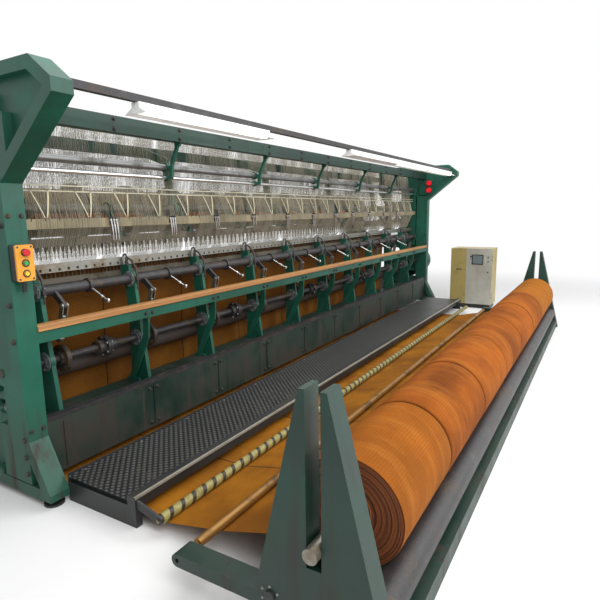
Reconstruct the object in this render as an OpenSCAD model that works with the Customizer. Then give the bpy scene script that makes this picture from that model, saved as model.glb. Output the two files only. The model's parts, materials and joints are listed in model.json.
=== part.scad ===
// Warp knitting machine for net fabric, with its walkway, batching unit and control cabinet.
// Millimetres. X runs along the needle line, -Y is the operator's side, Z is up from the floor.
// Working coordinates have Y = 0 on the needle line and X = 0 midway between the end frames.
// in_frame() then moves each node so that the origin lies under the middle of the whole plant.

/* [Knitting width] */
// Clear width between the end frames
span = 7100; // [6700:50:7500]
// Pitch of the hand rail brackets, pedestals and hooks
bay = 705; // [660:5:730]
// Shift of the row of brackets towards the far end
bay_shift = 80; // [0:10:120]
// Pitch of the rod clamps
clamp_bay = 1140; // [1040:20:1160]

/* [End frames] */
// Thickness of an end frame along the machine
frame_t = 118; // [100:2:140]
// Thickness of the web inside the frame's rim
web_t = 24; // [16:2:36]
// Width of the rim seen from the side
rim_w = 64; // [50:2:80]
// Distance from the needle line forward to the frame's front face
front_y = 290; // [280:5:320]
// Distance from the needle line back to the rear column
rear_y = 480; // [460:5:520]
// Height of the frame's top edge
frame_h = 2330; // [2280:10:2400]
// How far the head reaches forward of the column
head_reach = 480; // [420:10:540]
// Height at which the head starts on the column
head_low = 1766; // [1720:2:1800]
// Distance from the frame's top edge down to the lower corner of the head's tip
tip_drop = 180; // [150:5:210]
// How far a foot spreads beyond its column
foot_spread = 150; // [110:5:170]
// Height of the levelling feet under the frames
foot_h = 40; // [30:2:60]
// Diameter of a levelling foot's pad
foot_d = 110; // [90:5:130]

/* [Bed and cross beams] */
// Depth of the bed beam
bed_d = 250; // [220:5:265]
// Height of the bed beam
bed_h = 320; // [280:5:340]
// Clearance between the floor and the bed beam
bed_z = 110; // [100:5:130]
// Wall of the bed beam
bed_wall = 12; // [8:1:20]
// Depth of the top front beam
top_d = 80; // [60:5:90]
// Height of the top front beam
top_h = 100; // [80:5:110]
// Distance from the frame's top edge down to the top front beam
top_drop = 120; // [100:5:135]

/* [Hand rail] */
// Height of the wooden hand rail's top face
rail_z = 1000; // [960:5:1020]
// Depth of the wooden hand rail
rail_d = 118; // [90:2:130]
// Thickness of the wooden hand rail
rail_t = 34; // [26:2:44]
// Height of the steel channel under the rail
channel_h = 66; // [50:2:80]
// Wall of the channel
channel_wall = 6; // [4:1:8]
// Thickness of a rail bracket
bracket_t = 14; // [10:1:20]

/* [Knitting elements] */
// Height of the perforated bar's lower edge
bar_z = 1250; // [1240:2:1260]
// Height of the perforated bar
bar_h = 55; // [45:1:60]
// Thickness of the perforated bar
bar_t = 12; // [8:1:14]
// Side of a square hole in the perforated bar
hole_w = 16; // [10:1:20]
// Diameter of the rocker tube that lifts the needle bar
rocker_d = 70; // [60:2:76]
// Height of the rocker tube's axis
rocker_z = 1150; // [1140:2:1160]
// Distance of the rocker tube's axis ahead of the needle line
rocker_y = 70; // [66:1:76]
// Pitch of the needles that the solid carries
needle_pitch = 30; // [26:1:60]
// Free height of a needle over its bar
needle_h = 80; // [70:1:84]
// Diameter of the swing shaft of the guide bars
swing_d = 60; // [50:2:70]
// Height of the swing shaft's axis
swing_z = 1640; // [1630:5:1660]
// Distance of the swing shaft's axis behind the needle line
swing_y = 120; // [110:2:130]
// Height of a guide bar
guide_h = 50; // [40:2:60]
// Distance between the guide bars
guide_gap = 40; // [36:1:44]
// Height of the lower ends of the guides
guide_tip_z = 1326; // [1322:1:1332]
// Height of the yarn guide plate
plate_h = 60; // [50:2:70]
// Height of the yarn guide plate's lower edge
plate_z = 1520; // [1510:5:1530]

/* [Yarn rods] */
// Diameter of the upper yarn tube
tube_d = 50; // [40:2:56]
// Height of the upper yarn tube's axis
tube_z = 1940; // [1930:5:1960]
// Diameter of the bright rod under it
rod_d = 30; // [24:1:34]
// Height of the bright rod's axis
rod_z = 1867; // [1860:1:1875]
// Distance of tube and rod ahead of the needle line
rod_y = 60; // [54:2:70]

/* [Drive] */
// Diameter of the main shaft
shaft_d = 50; // [44:2:56]
// Height of the main shaft's axis
shaft_z = 732; // [720:2:745]
// Distance of the main shaft's axis ahead of the needle line
shaft_y = 100; // [92:2:110]
// Diameter of a cam disc on the main shaft
cam_d = 170; // [150:2:190]
// Eccentricity of a cam disc
cam_e = 4; // [3:0.5:5]
// Diameter of the main shaft's pulley
pulley_d = 320; // [280:5:340]
// Diameter of the motor's pulley
motor_pulley_d = 125; // [110:5:140]
// Width of the drive belt
belt_w = 60; // [50:2:70]
// Length of the motor's body
motor_len = 360; // [320:5:400]

/* [Take-down] */
// Radius of a take-down roller
take_r = 60; // [54:1:64]
// Height of the take-down rollers' axes
take_z = 640; // [620:5:660]
// Radius of the floor roller that turns the fabric forward
floor_r = 30; // [24:1:34]
// Thickness of the fabric web
fabric_t = 2; // [1.5:0.1:3]

/* [Warp beams] */
// Diameter of a warp beam's flanges
flange_d = 500; // [440:10:560]
// Diameter of the yarn wound on a warp beam
wound_d = 400; // [300:10:420]
// Sections of yarn on each warp beam
sections = 12; // [10:1:14]
// Height of the upper warp beam's axis
upper_beam_z = 1620; // [1580:10:1660]
// Height of the lower warp beam's axis
lower_beam_z = 700; // [640:10:760]
// Distance of the warp beams' axes behind the needle line
beam_y = 1060; // [1040:10:1100]

/* [Walkway] */
// Depth of the walkway
walk_d = 545; // [500:5:600]
// Length of the walkway
walk_len = 6800; // [6400:50:6850]
// Height of the tread plate's top
walk_z = 150; // [140:2:170]
// Distance from the needle line forward to the walkway's inner edge
walk_y = 430; // [425:5:440]
// Side of the square outer rail
walk_rail = 60; // [50:2:70]
// Diameter of the taped roller ahead of the walkway
taped_d = 54; // [48:1:60]
// Distance of the taped roller ahead of the needle line
taped_y = 1130; // [1120:5:1150]
// Distance from the walkway's far end back to the end of the taped roller
taped_inset = 292; // [180:4:400]

/* [Batching unit] */
// Distance from the needle line forward to the cloth roll's axis
wind_y = 2155; // [2100:5:2200]
// Width of the fabric and of the cloth roll
fabric_w = 5920; // [5700:20:6000]
// Gap between the near end frame and the edge of the fabric
fabric_margin = 50; // [45:5:90]
// Diameter of the cloth roll
roll_d = 472; // [440:2:500]
// Gap between the cloth roll and the near stand
roll_gap_near = 180; // [150:5:200]
// Gap between the cloth roll and the far stand
roll_gap_far = 50; // [40:5:90]
// Width of the first lane of fabric on the roll
first_lane = 670; // [600:10:700]
// Pitch of the lanes of fabric
lane = 780; // [740:10:800]
// Depth of the groove between two lanes on the roll
groove = 7; // [3:1:10]
// Diameter of the roll's core shaft
core_d = 60; // [50:1:70]
// Diameter of a drive drum
drum_d = 150; // [140:2:160]
// Distance of each drum's axis from the roll's, along Y
drum_off = 190; // [180:2:200]
// Height of the drive drums' axes
drum_z = 184; // [180:2:200]
// Height of a stand
stand_h = 1020; // [980:5:1060]
// Width of a stand's top
stand_top = 110; // [90:5:130]
// Spread of a stand's foot beyond its top on each side
stand_spread = 250; // [230:5:270]
// Thickness of a stand along the machine
stand_t = 100; // [80:5:120]
// Diameter of the pipe roller
pipe_d = 46; // [40:1:52]
// Distance of the pipe roller ahead of the needle line
pipe_y = 1490; // [1470:2:1510]
// Height of the pipe roller's axis
pipe_z = 155; // [150:1:164]

/* [Lamps and controls] */
// Length of a lamp
lamp_len = 1270; // [1200:10:1280]
// Pitch of the lamps
lamp_pitch = 1290; // [1285:5:1320]
// Width of a lamp's reflector
lamp_w = 170; // [140:5:200]
// Diameter of a lamp tube
bulb_d = 26; // [20:1:30]
// Diameter of a signal lamp
signal_d = 92; // [80:2:100]
// Width of the button station
station_w = 96; // [86:2:104]
// Height of the button station
station_h = 190; // [180:2:210]
// Height of the button station's lower edge
station_z = 1262; // [1240:2:1290]
// Width of the control cabinet
cab_w = 650; // [600:10:700]
// Depth of the control cabinet
cab_d = 400; // [350:10:450]
// Height of the control cabinet
cab_h = 975; // [940:5:1020]
// Wall of the control cabinet
cab_wall = 2.5; // [2:0.5:4]
// Gap between the walkway's end and the control cabinet
cab_gap = 140; // [100:5:200]

/* [Hidden] */
$fn = 48;

// Clearance between pieces that rest near each other
gap = 0.3;
// Radial clearance of a shaft in its bore
fit = 0.05;
// Depth by which a cut passes a face
cut = 1;

half = span / 2;
green = "#1d6b4f";
dark_green = "#143f33";
steel = "#b9bdc0";
dark_steel = "#2d2f31";
orange = "#c56a23";

// Stations along the machine
function row(pitch, shift, margin) = [
    for (i = [-9 : 9])
        let (x = i * pitch + shift)
            if (abs(x) < half - margin) x
];
bays = row(bay, bay_shift, 350);
clamps = row(clamp_bay, 0, 100);
arm_shift = 100;
pedestals = row(bay, bay_shift + 50, arm_shift + 35);

// Heights and edges that several pieces share
column_y = -front_y;
bed_y0 = column_y + 10;
bed_y1 = bed_y0 + bed_d;
bed_top = bed_z + bed_h;
rear_top_y = rear_y + 120;
rear_foot_y = rear_y + foot_spread + 10;
head_rise = 65;
tip_z = frame_h - tip_drop;
top_z = frame_h - top_drop - top_h;

// The end frame's outline in Y and Z
frame_outline = [
    [column_y - foot_spread, foot_h],
    [column_y - foot_spread, foot_h + 40],
    [column_y, foot_h + 320],
    [column_y, head_low],
    [column_y - head_reach, tip_z],
    [column_y - head_reach, tip_z + head_rise],
    [column_y - head_reach + 150, frame_h],
    [rear_top_y, frame_h],
    [rear_top_y, frame_h - 430],
    [rear_y, frame_h - 620],
    [rear_y, foot_h + 380],
    [rear_foot_y, foot_h + 40],
    [rear_foot_y, foot_h]
];

// Rollers that guide the fabric: centre, radius and the side that the fabric passes
fabric_z = 60;
take_front_y = 26;
fabric_y = take_front_y + take_r + gap + fabric_t / 2;
take_rear_y = fabric_y + fabric_t / 2 + gap + take_r;
floor_y = fabric_y - fabric_t / 2 - gap - floor_r;
floor_z = fabric_z + gap + floor_r;
taped_z = fabric_z + gap + taped_d / 2;
roll_r = roll_d / 2;
drum_r = drum_d / 2;
roll_z = drum_z + sqrt(pow(roll_r + drum_r + gap, 2) - pow(drum_off, 2));

// Batching unit along X
roll_x0 = -half + fabric_margin;
wind_x0 = roll_x0 - roll_gap_near;
wind_x1 = roll_x0 + fabric_w + roll_gap_far;
wind_span = wind_x1 - wind_x0;
lane_cuts = [for (x = [first_lane : lane : fabric_w - 200]) x];

// Walkway and cabinet along X
walk_x0 = -half + 2;
walk_x1 = walk_x0 + walk_len;
walk_leg = 40;
cab_x0 = walk_x1 + cab_gap;
cab_y0 = -1410;
taped_x0 = roll_x0 - 20;
taped_len = walk_x1 - taped_inset - taped_x0;

// Drive at the far end
guard_wall = 3;
pulley_x = half + frame_t + 20;
motor_y = 400;
motor_z = 330;
motor_d = 200;
guard_reach = belt_w + 50;

// Middle of the whole plant on the floor
stand_half = stand_top / 2 + stand_spread;
core_out = 30;
plant_x0 = wind_x0 - stand_t - core_out;
plant_x1 = max(pulley_x + guard_reach, cab_x0 + cab_d);
beam_foot = beam_y - rear_foot_y - gap;
plant_y0 = -wind_y - stand_half;
plant_y1 = beam_y + beam_foot;
mid_x = (plant_x0 + plant_x1) / 2;
mid_y = (plant_y0 + plant_y1) / 2;

module in_frame() {
    translate([-mid_x, -mid_y, 0]) children();
}

// Extrudes a Y-Z outline along X from x0
module along_x(x0, len) {
    translate([x0, 0, 0])
        rotate([90, 0, 90])
            linear_extrude(len) children();
}

// A round bar along X
module rod_x(x0, len, d, y, z) {
    translate([x0, y, z])
        rotate([0, 90, 0])
            cylinder(h = len, d = d);
}

// A tube along X
module pipe_x(x0, len, d, wall, y, z) {
    difference() {
        rod_x(x0, len, d, y, z);
        rod_x(x0 - cut, len + 2 * cut, d - 2 * wall, y, z);
    }
}

// A box between two corners
module block(low, high) {
    translate(low) cube(high - low);
}

// A rectangle with round corners, lower left corner at the origin
module round_rect(w, h, r) {
    translate([r, 0]) square([w - 2 * r, h]);
    translate([0, r]) square([w, h - 2 * r]);
    for (x = [r, w - r], y = [r, h - r])
        translate([x, y]) circle(r);
}

// A strip of width w along the left side of the edge from p to q
module edge_strip(p, q, w) {
    u = (q - p) / norm(q - p);
    n = [u[1], -u[0]];
    e = w * 0.6;
    polygon([p - u * e, q + u * e, q + u * e + n * w, p - u * e + n * w]);
}

// A straight bar with round ends between two points
module link(p, q, w) {
    u = (q - p) / norm(q - p);
    n = [-u[1], u[0]] * w / 2;
    polygon([p + n, q + n, q - n, p - n]);
    translate(p) circle(w / 2);
    translate(q) circle(w / 2);
}

// Angle of the run between two guides, each [y, z, distance, side]
function run_angle(a, b) =
    atan2(b[1] - a[1], b[0] - a[0])
    + asin((b[2] * b[3] - a[2] * a[3]) / norm([b[0] - a[0], b[1] - a[1]]));
function normal(phi) = [-sin(phi), cos(phi)];
function near_turn(from, to) = to - 360 * round((to - from) / 360);

// Normals of the path around one guide, from the run before it to the run after it
function guide_angles(stops, i) =
    let (first = i == 0 ? run_angle(stops[0], stops[1]) : run_angle(stops[i - 1], stops[i]),
         raw = i == len(stops) - 1 ? first : run_angle(stops[i], stops[i + 1]),
         last = near_turn(first, raw),
         steps = ceil(abs(last - first) / 7))
    [for (k = [0 : steps]) first + (last - first) * k / max(steps, 1)];

// One side of a thin web that runs over a list of guides
function web_side(stops, shift) = [
    for (i = [0 : len(stops) - 1], phi = guide_angles(stops, i))
        [stops[i][0], stops[i][1]] + normal(phi) * (stops[i][2] * stops[i][3] + shift)
];
function reversed(list) = [for (i = [len(list) - 1 : -1 : 0]) list[i]];

// The outline of a thin web that runs over a list of guides
module web_outline(stops, t) {
    polygon(concat(web_side(stops, t / 2), reversed(web_side(stops, -t / 2))));
}

// Two full columns, and the pads where beams and rods meet an end frame
module frame_pads() {
    translate([column_y, foot_h + 310]) square([column_w, head_low - foot_h - 240]);
    translate([column_y + column_w + column_slot, rail_z]) square([column_w - 62, tube_z + 60 - rail_z]);
    translate([bed_y0, bed_z]) square([bed_d, bed_h]);
    translate([column_y + 40, top_z]) square([top_d, top_h]);
    translate([column_y - 80, tension_high + 80]) square([column_w + 40, 250]);
    translate([rear_y - 130, rear_beam_low]) square([80, 80]);
    translate([rear_top_y - 100, rear_beam_high]) square([80, 80]);
    translate([-shaft_y, shaft_z]) circle(75);
    translate([-rocker_y, rocker_z]) circle(60);
    translate([swing_y, swing_z]) circle(58);
    translate([take_front_y, take_z]) circle(48);
    translate([take_rear_y, take_z]) circle(48);
    translate([floor_y, floor_z]) circle(floor_z - foot_h);
    translate([front_tube_y, front_tube_z]) circle(40);
    translate([rear_tube_y, rear_tube_z]) circle(40);
    translate([rack_y - 30, rack_z - 30]) square([60, 60]);
    translate([motor_y, motor_z]) circle(motor_d / 2 + 14);
    translate([wheel_y, wheel_z]) circle(50);
}
column_w = 185;
column_slot = 18;
rear_beam_low = 980;
rear_beam_high = frame_h - 250;
front_tube_y = 60;
front_tube_z = frame_h - 80;
rear_tube_y = rear_top_y - 50;
rear_tube_z = frame_h + 10;
rack_y = rear_y - 20;
rack_z = 1600;
wheel_y = 370;
wheel_z = frame_h - 258;

module frame_web() {
    difference() {
        polygon(frame_outline);
        translate([column_y + 110, foot_h + 420]) round_rect(240, 90, 40);
        translate([take_rear_y + 60, 760]) round_rect(150, 190, 40);
        translate([190, 1130]) round_rect(190, 380, 50);
        translate([190, 1750]) round_rect(190, 190, 50);
    }
}

// One end frame with its web between rims, drilled for the shafts
module end_frame(x0) {
    count = len(frame_outline);
    difference() {
        union() {
            along_x(x0, frame_t)
                intersection() {
                    polygon(frame_outline);
                    union() {
                        for (i = [0 : count - 1])
                            edge_strip(frame_outline[i], frame_outline[(i + 1) % count], rim_w);
                        frame_pads();
                    }
                }
            along_x(x0, frame_t)
                translate([rear_tube_y, rear_tube_z]) circle(40);
            along_x(x0 + (frame_t - web_t) / 2, web_t) frame_web();
        }
        rod_x(x0 - cut, frame_t + 2 * cut, shaft_d + 2 * fit, -shaft_y, shaft_z);
        rod_x(x0 - cut, frame_t + 2 * cut, rocker_end_d + 2 * fit, -rocker_y, rocker_z);
        rod_x(x0 - cut, frame_t + 2 * cut, swing_end_d + 2 * fit, swing_y, swing_z);
        rod_x(x0 - cut, frame_t + 2 * cut, take_end_d + 2 * fit, take_front_y, take_z);
        rod_x(x0 - cut, frame_t + 2 * cut, take_end_d + 2 * fit, take_rear_y, take_z);
        rod_x(x0 - cut, frame_t + 2 * cut, floor_end_d + 2 * fit, floor_y, floor_z);
    }
}
rocker_end_d = 40;
swing_end_d = 40;
take_end_d = 44;
floor_end_d = 24;

module near_end_frame() {
    in_frame() color(green) end_frame(-half - frame_t);
}

module far_end_frame() {
    in_frame() color(green)
        difference() {
            end_frame(half);
            rod_x(half - cut, frame_t + 2 * cut, motor_shaft_d + 16, motor_y, motor_z);
            rod_x(half - cut, frame_t + 2 * cut, wheel_shaft_d + 2 * fit, wheel_y, wheel_z);
        }
}

// The big welded box that carries the knitting elements, closed by end plates
module bed_beam() {
    in_frame() color(dark_green) {
        along_x(-half, span)
            difference() {
                translate([bed_y0, bed_z]) square([bed_d, bed_h]);
                translate([bed_y0 + bed_wall, bed_z + bed_wall])
                    square([bed_d - 2 * bed_wall, bed_h - 2 * bed_wall]);
            }
        for (x = [-half, half - 2 * bed_wall])
            block([x, bed_y0 + bed_wall, bed_z + bed_wall],
                  [x + 2 * bed_wall, bed_y1 - bed_wall, bed_top - bed_wall]);
        for (x = pedestals)
            block([x - 50, bed_y0 - 6, bed_z + 20], [x - 38, bed_y0, bed_top - 20]);
    }
}

// A levelling foot of height h: pad, screw and nut
module foot(x, y, h) {
    translate([x, y, 0]) cylinder(h = 12, d = foot_d);
    translate([x, y, 12]) cylinder(h = h - 12, d = 36);
    translate([x, y, h - 16]) cylinder(h = 10, d = 58, $fn = 6);
}

module levelling_feet() {
    in_frame() color(dark_steel)
        for (side = [-1, 1], y = [column_y - foot_spread + 60, rear_foot_y - 60])
            foot(side * (half + frame_t / 2), y, foot_h);
}

// Shallow sheet tray on the bed that catches oil
tray_h = 26;
module oil_tray() {
    in_frame() color(dark_steel)
        along_x(-half + 4, span - 8)
            difference() {
                translate([bed_y0 + 4, bed_top]) square([tray_d, tray_h]);
                translate([bed_y0 + 6, bed_top + 2]) square([tray_d - 4, tray_h]);
            }
}
tray_d = 46;

// A square hollow beam between the end frames
module hollow_beam(y, z, d, h) {
    along_x(-half, span)
        difference() {
            translate([y, z]) square([d, h]);
            translate([y + 6, z + 6]) square([d - 12, h - 12]);
        }
}

// Top beams, rear beams and the package rack
back_y = rear_top_y - 100;
module upper_beams() {
    in_frame() color(dark_green) {
        hollow_beam(column_y + 40, top_z, top_d, top_h);
        hollow_beam(rear_y - 130, rear_beam_low, 80, 80);
        hollow_beam(back_y, rear_beam_high, 80, 80);
        along_x(-half, span)
            translate([rack_y - 15, rack_z - 15]) square([30, 30]);
    }
}

// Arm bolted to the high rear beam, with the bearing of the swing shaft
module swing_arm(x) {
    difference() {
        along_x(x - 15, 30) {
            link([swing_y, swing_z], [swing_y + 60, rear_beam_high - 60], 60);
            link([swing_y + 60, rear_beam_high - 60], [back_y - 40, rear_beam_high + 40], 60);
            translate([back_y - 40, rear_beam_high + 10]) square([40, 60]);
            translate([swing_y, swing_z]) circle(swing_d / 2 + 22);
        }
        rod_x(x - 15 - cut, 30 + 2 * cut, swing_d + 2 * fit, swing_y, swing_z);
    }
}

// Pedestals on the bed with the bearings of main shaft and rocker tube, and the arms above
module pedestal_outline() {
    difference() {
        union() {
            polygon([[bed_y1 - 170, bed_top], [bed_y1, bed_top], [-shaft_y + 60, shaft_z],
                     [-rocker_y + 45, rocker_z - 20], [-rocker_y - 45, rocker_z - 20],
                     [-shaft_y - 60, shaft_z]]);
            translate([-shaft_y, shaft_z]) circle(shaft_d / 2 + 40);
            translate([-rocker_y, rocker_z]) circle(rocker_d / 2 + 22);
            translate([-rocker_y, rocker_z]) square([rocker_y + 10, bar_z - rocker_z]);
            translate([0, rocker_z]) square([10, bar_z + bar_h - 12 - rocker_z]);
        }
        translate([-shaft_y, (shaft_z + rocker_z) / 2]) circle(30);
    }
}

module shaft_pedestals() {
    in_frame() color(green) {
        for (x = pedestals)
            difference() {
                along_x(x - 14, 28) pedestal_outline();
                rod_x(x - 14 - cut, 28 + 2 * cut, shaft_d + 2 * fit, -shaft_y, shaft_z);
                rod_x(x - 14 - cut, 28 + 2 * cut, rocker_d + 2 * fit, -rocker_y, rocker_z);
            }
        for (i = [0 : 2 : len(pedestals) - 1])
            swing_arm(pedestals[i] - 60);
    }
}

// Channel under the hand rail and the bent brackets that hold it off the bed
channel_d = 50;
channel_top = rail_z - rail_t;
module rail_frame() {
    in_frame() color(green) {
        along_x(-half, span)
            difference() {
                translate([column_y + 4, channel_top - channel_h]) square([channel_d, channel_h]);
                translate([column_y + 4 + channel_wall, channel_top - channel_h + channel_wall])
                    square([channel_d, channel_h - 2 * channel_wall]);
            }
        for (x = bays)
            along_x(x - bracket_t / 2, bracket_t) bracket_outline();
    }
}

// A bracket: upright under the channel, then sloping back to the bed's top
knee_z = 760;
knee_y = column_y + 46;
module bracket_outline() {
    polygon([
        [column_y + 4 + channel_wall, channel_top - channel_wall],
        [column_y + 4 + channel_d, channel_top - channel_wall],
        [knee_y + 26, knee_z + 10],
        [bed_y1 - 20, bed_top + 12],
        [bed_y1 - 4, bed_top + 12],
        [bed_y1 - 4, bed_top],
        [bed_y1 - 120, bed_top],
        [bed_y1 - 120, bed_top + 12],
        [bed_y1 - 74, bed_top + 12],
        [knee_y - 26, knee_z - 6],
        [column_y + 4 + channel_wall, channel_top - channel_h - 40]
    ]);
}

// Wooden rail with a raised front step
module hand_rail() {
    in_frame() color("#c98a4b")
        along_x(-half + gap, span - 2 * gap)
            polygon([
                [column_y - 8, channel_top], [column_y - 8 + rail_d, channel_top],
                [column_y - 8 + rail_d, rail_z - 10], [column_y + 40, rail_z - 10],
                [column_y + 36, rail_z], [column_y - 5, rail_z], [column_y - 8, rail_z - 3]
            ]);
}

// Upper yarn tube and the two tubes that turn the yarn over the top
module yarn_tubes() {
    in_frame() color(dark_steel) {
        pipe_x(-half, span, tube_d, 4, -rod_y, tube_z);
        pipe_x(-half, span, deflector_d, 4, front_tube_y, front_tube_z);
        pipe_x(-half, span, deflector_d, 4, rear_tube_y, rear_tube_z);
    }
}
deflector_d = 50;

module bright_rod() {
    in_frame() color(steel) rod_x(-half, span, rod_d, -rod_y, rod_z);
}

// Cast hooks under the top beam that hold the tube and the rod
module rod_clamps() {
    in_frame() color(green)
        for (x = clamps)
            difference() {
                along_x(x - 11, 22) {
                    link([column_y + 40 + top_d - 24, top_z - 12], [-rod_y - 70, tube_z + 30], 24);
                    link([-rod_y - 70, tube_z + 30], [-rod_y - 52, rod_z], 24);
                    link([-rod_y - 52, rod_z], [-rod_y, rod_z], 24);
                    link([-rod_y - 66, tube_z], [-rod_y, tube_z], 24);
                    translate([-rod_y, rod_z]) circle(rod_d / 2 + 9);
                    translate([-rod_y, tube_z]) circle(tube_d / 2 + 8);
                    translate([column_y + 40 + top_d - 48, top_z - 24]) square([48, 24]);
                }
                rod_x(x - 11 - cut, 22 + 2 * cut, rod_d + 2 * fit, -rod_y, rod_z);
                rod_x(x - 11 - cut, 22 + 2 * cut, tube_d + 2 * fit, -rod_y, tube_z);
            }
}

// Two thin rails with the posts that keep them apart
tension_low = 1742;
tension_high = 1776;
module tension_rails() {
    in_frame() color(steel) {
        for (z = [tension_low, tension_high])
            along_x(-half, span) translate([-34, z]) square([8, 8]);
        for (x = [-half + 100 : 230 : half - 60])
            block([x - 4, -28, tension_low + 8], [x + 4, -26, tension_high]);
    }
}

// Flat bright plate with a row of yarn slots along its upper edge
module yarn_guide_plate() {
    in_frame() color(steel)
        difference() {
            block([-half, -77, plate_z], [half, -69, plate_z + plate_h]);
            for (x = [-half + 70 : 90 : half - 60])
                block([x - 3, -77 - cut, plate_z + plate_h - 14],
                      [x + 3, -69 + cut, plate_z + plate_h + cut]);
        }
}

// Bright bar with a row of square holes near its lower edge
module perforated_bar() {
    holes = floor(span / (4 * hole_w));
    pitch = span / holes;
    in_frame() color(steel)
        difference() {
            block([-half, -bar_t, bar_z], [half, 0, bar_z + bar_h]);
            for (i = [0 : holes - 1])
                block([-half + (i + 0.5) * pitch - hole_w / 2, -bar_t - cut, bar_z + 8],
                      [-half + (i + 0.5) * pitch + hole_w / 2, cut, bar_z + 8 + hole_w]);
        }
}

// Bent round hooks that stand on the pedestals and reach over the perforated bar
hook_d = 12;
hook_r = 17;
module hooks() {
    hook_y = -bar_t / 2 - 2 * hook_r;
    rise = bar_z + bar_h + gap;
    in_frame() color(dark_steel)
        for (x = pedestals) {
            translate([x, hook_y, bar_z]) cylinder(h = rise - bar_z, d = hook_d);
            translate([x, hook_y + hook_r, rise])
                rotate([90, 0, 90])
                    rotate_extrude(angle = 180) translate([hook_r, 0]) circle(d = hook_d);
        }
}

// Wound packages on pegs of the rear rack
package_d = 80;
package_len = 110;
package_x = [
    for (i = [0 : 6]) -3030 + 140 * i,
    for (x = [-1520, -1380, -860, -480, -340, 260, 940, 1640]) x
];
module yarn_packages() {
    in_frame() color(orange)
        for (x = package_x)
            translate([x, rack_y - 15, rack_z])
                rotate([90, 0, 0])
                    difference() {
                        cylinder(h = package_len, d1 = package_d + 8, d2 = package_d);
                        translate([0, 0, 20]) cylinder(h = package_len, d = 32);
                    }
}

// Angle along which the lamps hang between the two heads
lamp_y = column_y - head_reach + 110;
lamp_z = tip_z + 60;
module lamp_rail() {
    in_frame() color(dark_steel)
        along_x(-half, span)
            difference() {
                translate([lamp_y - 20, lamp_z]) square([40, 40]);
                translate([lamp_y - 16, lamp_z + 4]) square([40, 40]);
            }
}

// Where each lamp starts: one near the operator's station, three in line at the far end
lamp_starts = concat([-half + 470], [for (k = [3 : -1 : 1]) half - 20 - k * lamp_pitch]);
module lamp_housings() {
    in_frame() color("white")
        for (x = lamp_starts)
            along_x(x, lamp_len)
                difference() {
                    polygon([
                        [lamp_y - 30, lamp_z], [lamp_y + 30, lamp_z],
                        [lamp_y + 30, lamp_z - 30], [lamp_y + lamp_w / 2, lamp_z - 62],
                        [lamp_y - lamp_w / 2, lamp_z - 62], [lamp_y - 30, lamp_z - 30]
                    ]);
                    polygon([
                        [lamp_y - 29, lamp_z - 31], [lamp_y + 29, lamp_z - 31],
                        [lamp_y + lamp_w / 2 - 3, lamp_z - 63],
                        [lamp_y - lamp_w / 2 + 3, lamp_z - 63]
                    ]);
                }
}

module lamp_tubes() {
    in_frame() color("#fbfbf4")
        for (x = lamp_starts, s = [-1, 1])
            rod_x(x + 20, lamp_len - 40, bulb_d, lamp_y + s * 15, lamp_z - 31 - gap - bulb_d / 2);
}

module signal_lamps() {
    in_frame() color("#c8202a")
        for (z = [frame_h - 401, frame_h - 287])
            translate([half, column_y - 20, z])
                rotate([0, -90, 0]) {
                    cylinder(h = 14, d = signal_d * 0.8);
                    translate([0, 0, 14]) cylinder(h = 26, d1 = signal_d, d2 = signal_d * 0.86);
                }
}

// Tube with arms that lift the needle bar and take the push rods
front_arm = [-rocker_y - 100, rocker_z - 88];
needle_y = 36;
needle_base = rocker_z;
module rocker_tube() {
    in_frame() color(dark_steel) {
        rod_x(-half + gap, span - 2 * gap, rocker_d, -rocker_y, rocker_z);
        for (s = [-1, 1])
            rod_x(s < 0 ? -half - frame_t : half, frame_t, rocker_end_d, -rocker_y, rocker_z);
        rod_x(-half - 1, span + 2, rocker_end_d, -rocker_y, rocker_z);
        for (x = pedestals)
            difference() {
                union() {
                    along_x(x + arm_shift - 10, 20)
                        link([-rocker_y, rocker_z], front_arm, 40);
                    along_x(x - arm_shift - 10, 20)
                        link([-rocker_y, rocker_z], [needle_y - 8, needle_base + 6], 34);
                }
                rod_x(x + arm_shift - 10 - cut, 20 + 2 * cut, 20 + 2 * fit, front_arm[0], front_arm[1]);
            }
    }
}

// Needle bar with its row of needles
needle_bar_z = needle_base + 23.3;
module needle_bar() {
    count = floor((span - 60) / needle_pitch);
    x0 = -(count - 1) * needle_pitch / 2;
    in_frame() color(steel) {
        block([-half + 10, needle_y - 4, needle_bar_z], [half - 10, needle_y + 14, needle_bar_z + 34]);
        translate([0, needle_y + 3, needle_bar_z + 34])
            rotate([90, 0, 0])
                linear_extrude(3)
                    polygon(concat(
                        [[x0 - 6, -6]],
                        [for (i = [0 : count - 1], p = needle_points) [x0 + i * needle_pitch, 0] + p],
                        [[-x0 + 6, -6]]
                    ));
    }
}
needle_points = [
    [-2, 2], [-1.2, needle_h - 10], [-1.2, needle_h], [1.2, needle_h], [1.2, needle_h - 10], [2, 2]
];

// Push rods between the rocker's front arms and the cam discs, open at the cams
roller_d = 44;
module push_rods() {
    foot_z = shaft_z + cam_d / 2 + 3 * cam_e + gap + roller_d / 2;
    in_frame() color(steel)
        for (x = pedestals) {
            rod_x(x + arm_shift - 24, 48, 20, front_arm[0], front_arm[1]);
            for (s = [-1, 1])
                along_x(x + arm_shift + s * 16 - 4, 8)
                    link(front_arm, [front_arm[0] + 20, front_arm[1] - 70], 34);
            along_x(x + arm_shift - 8, 16)
                link([front_arm[0] + 20, front_arm[1] - 70], [-shaft_y, foot_z], 26);
            rod_x(x + arm_shift - 20, 40, 22, front_arm[0] + 20, front_arm[1] - 70);
            rod_x(x + arm_shift - 14, 28, roller_d, -shaft_y, foot_z);
        }
}

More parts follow.
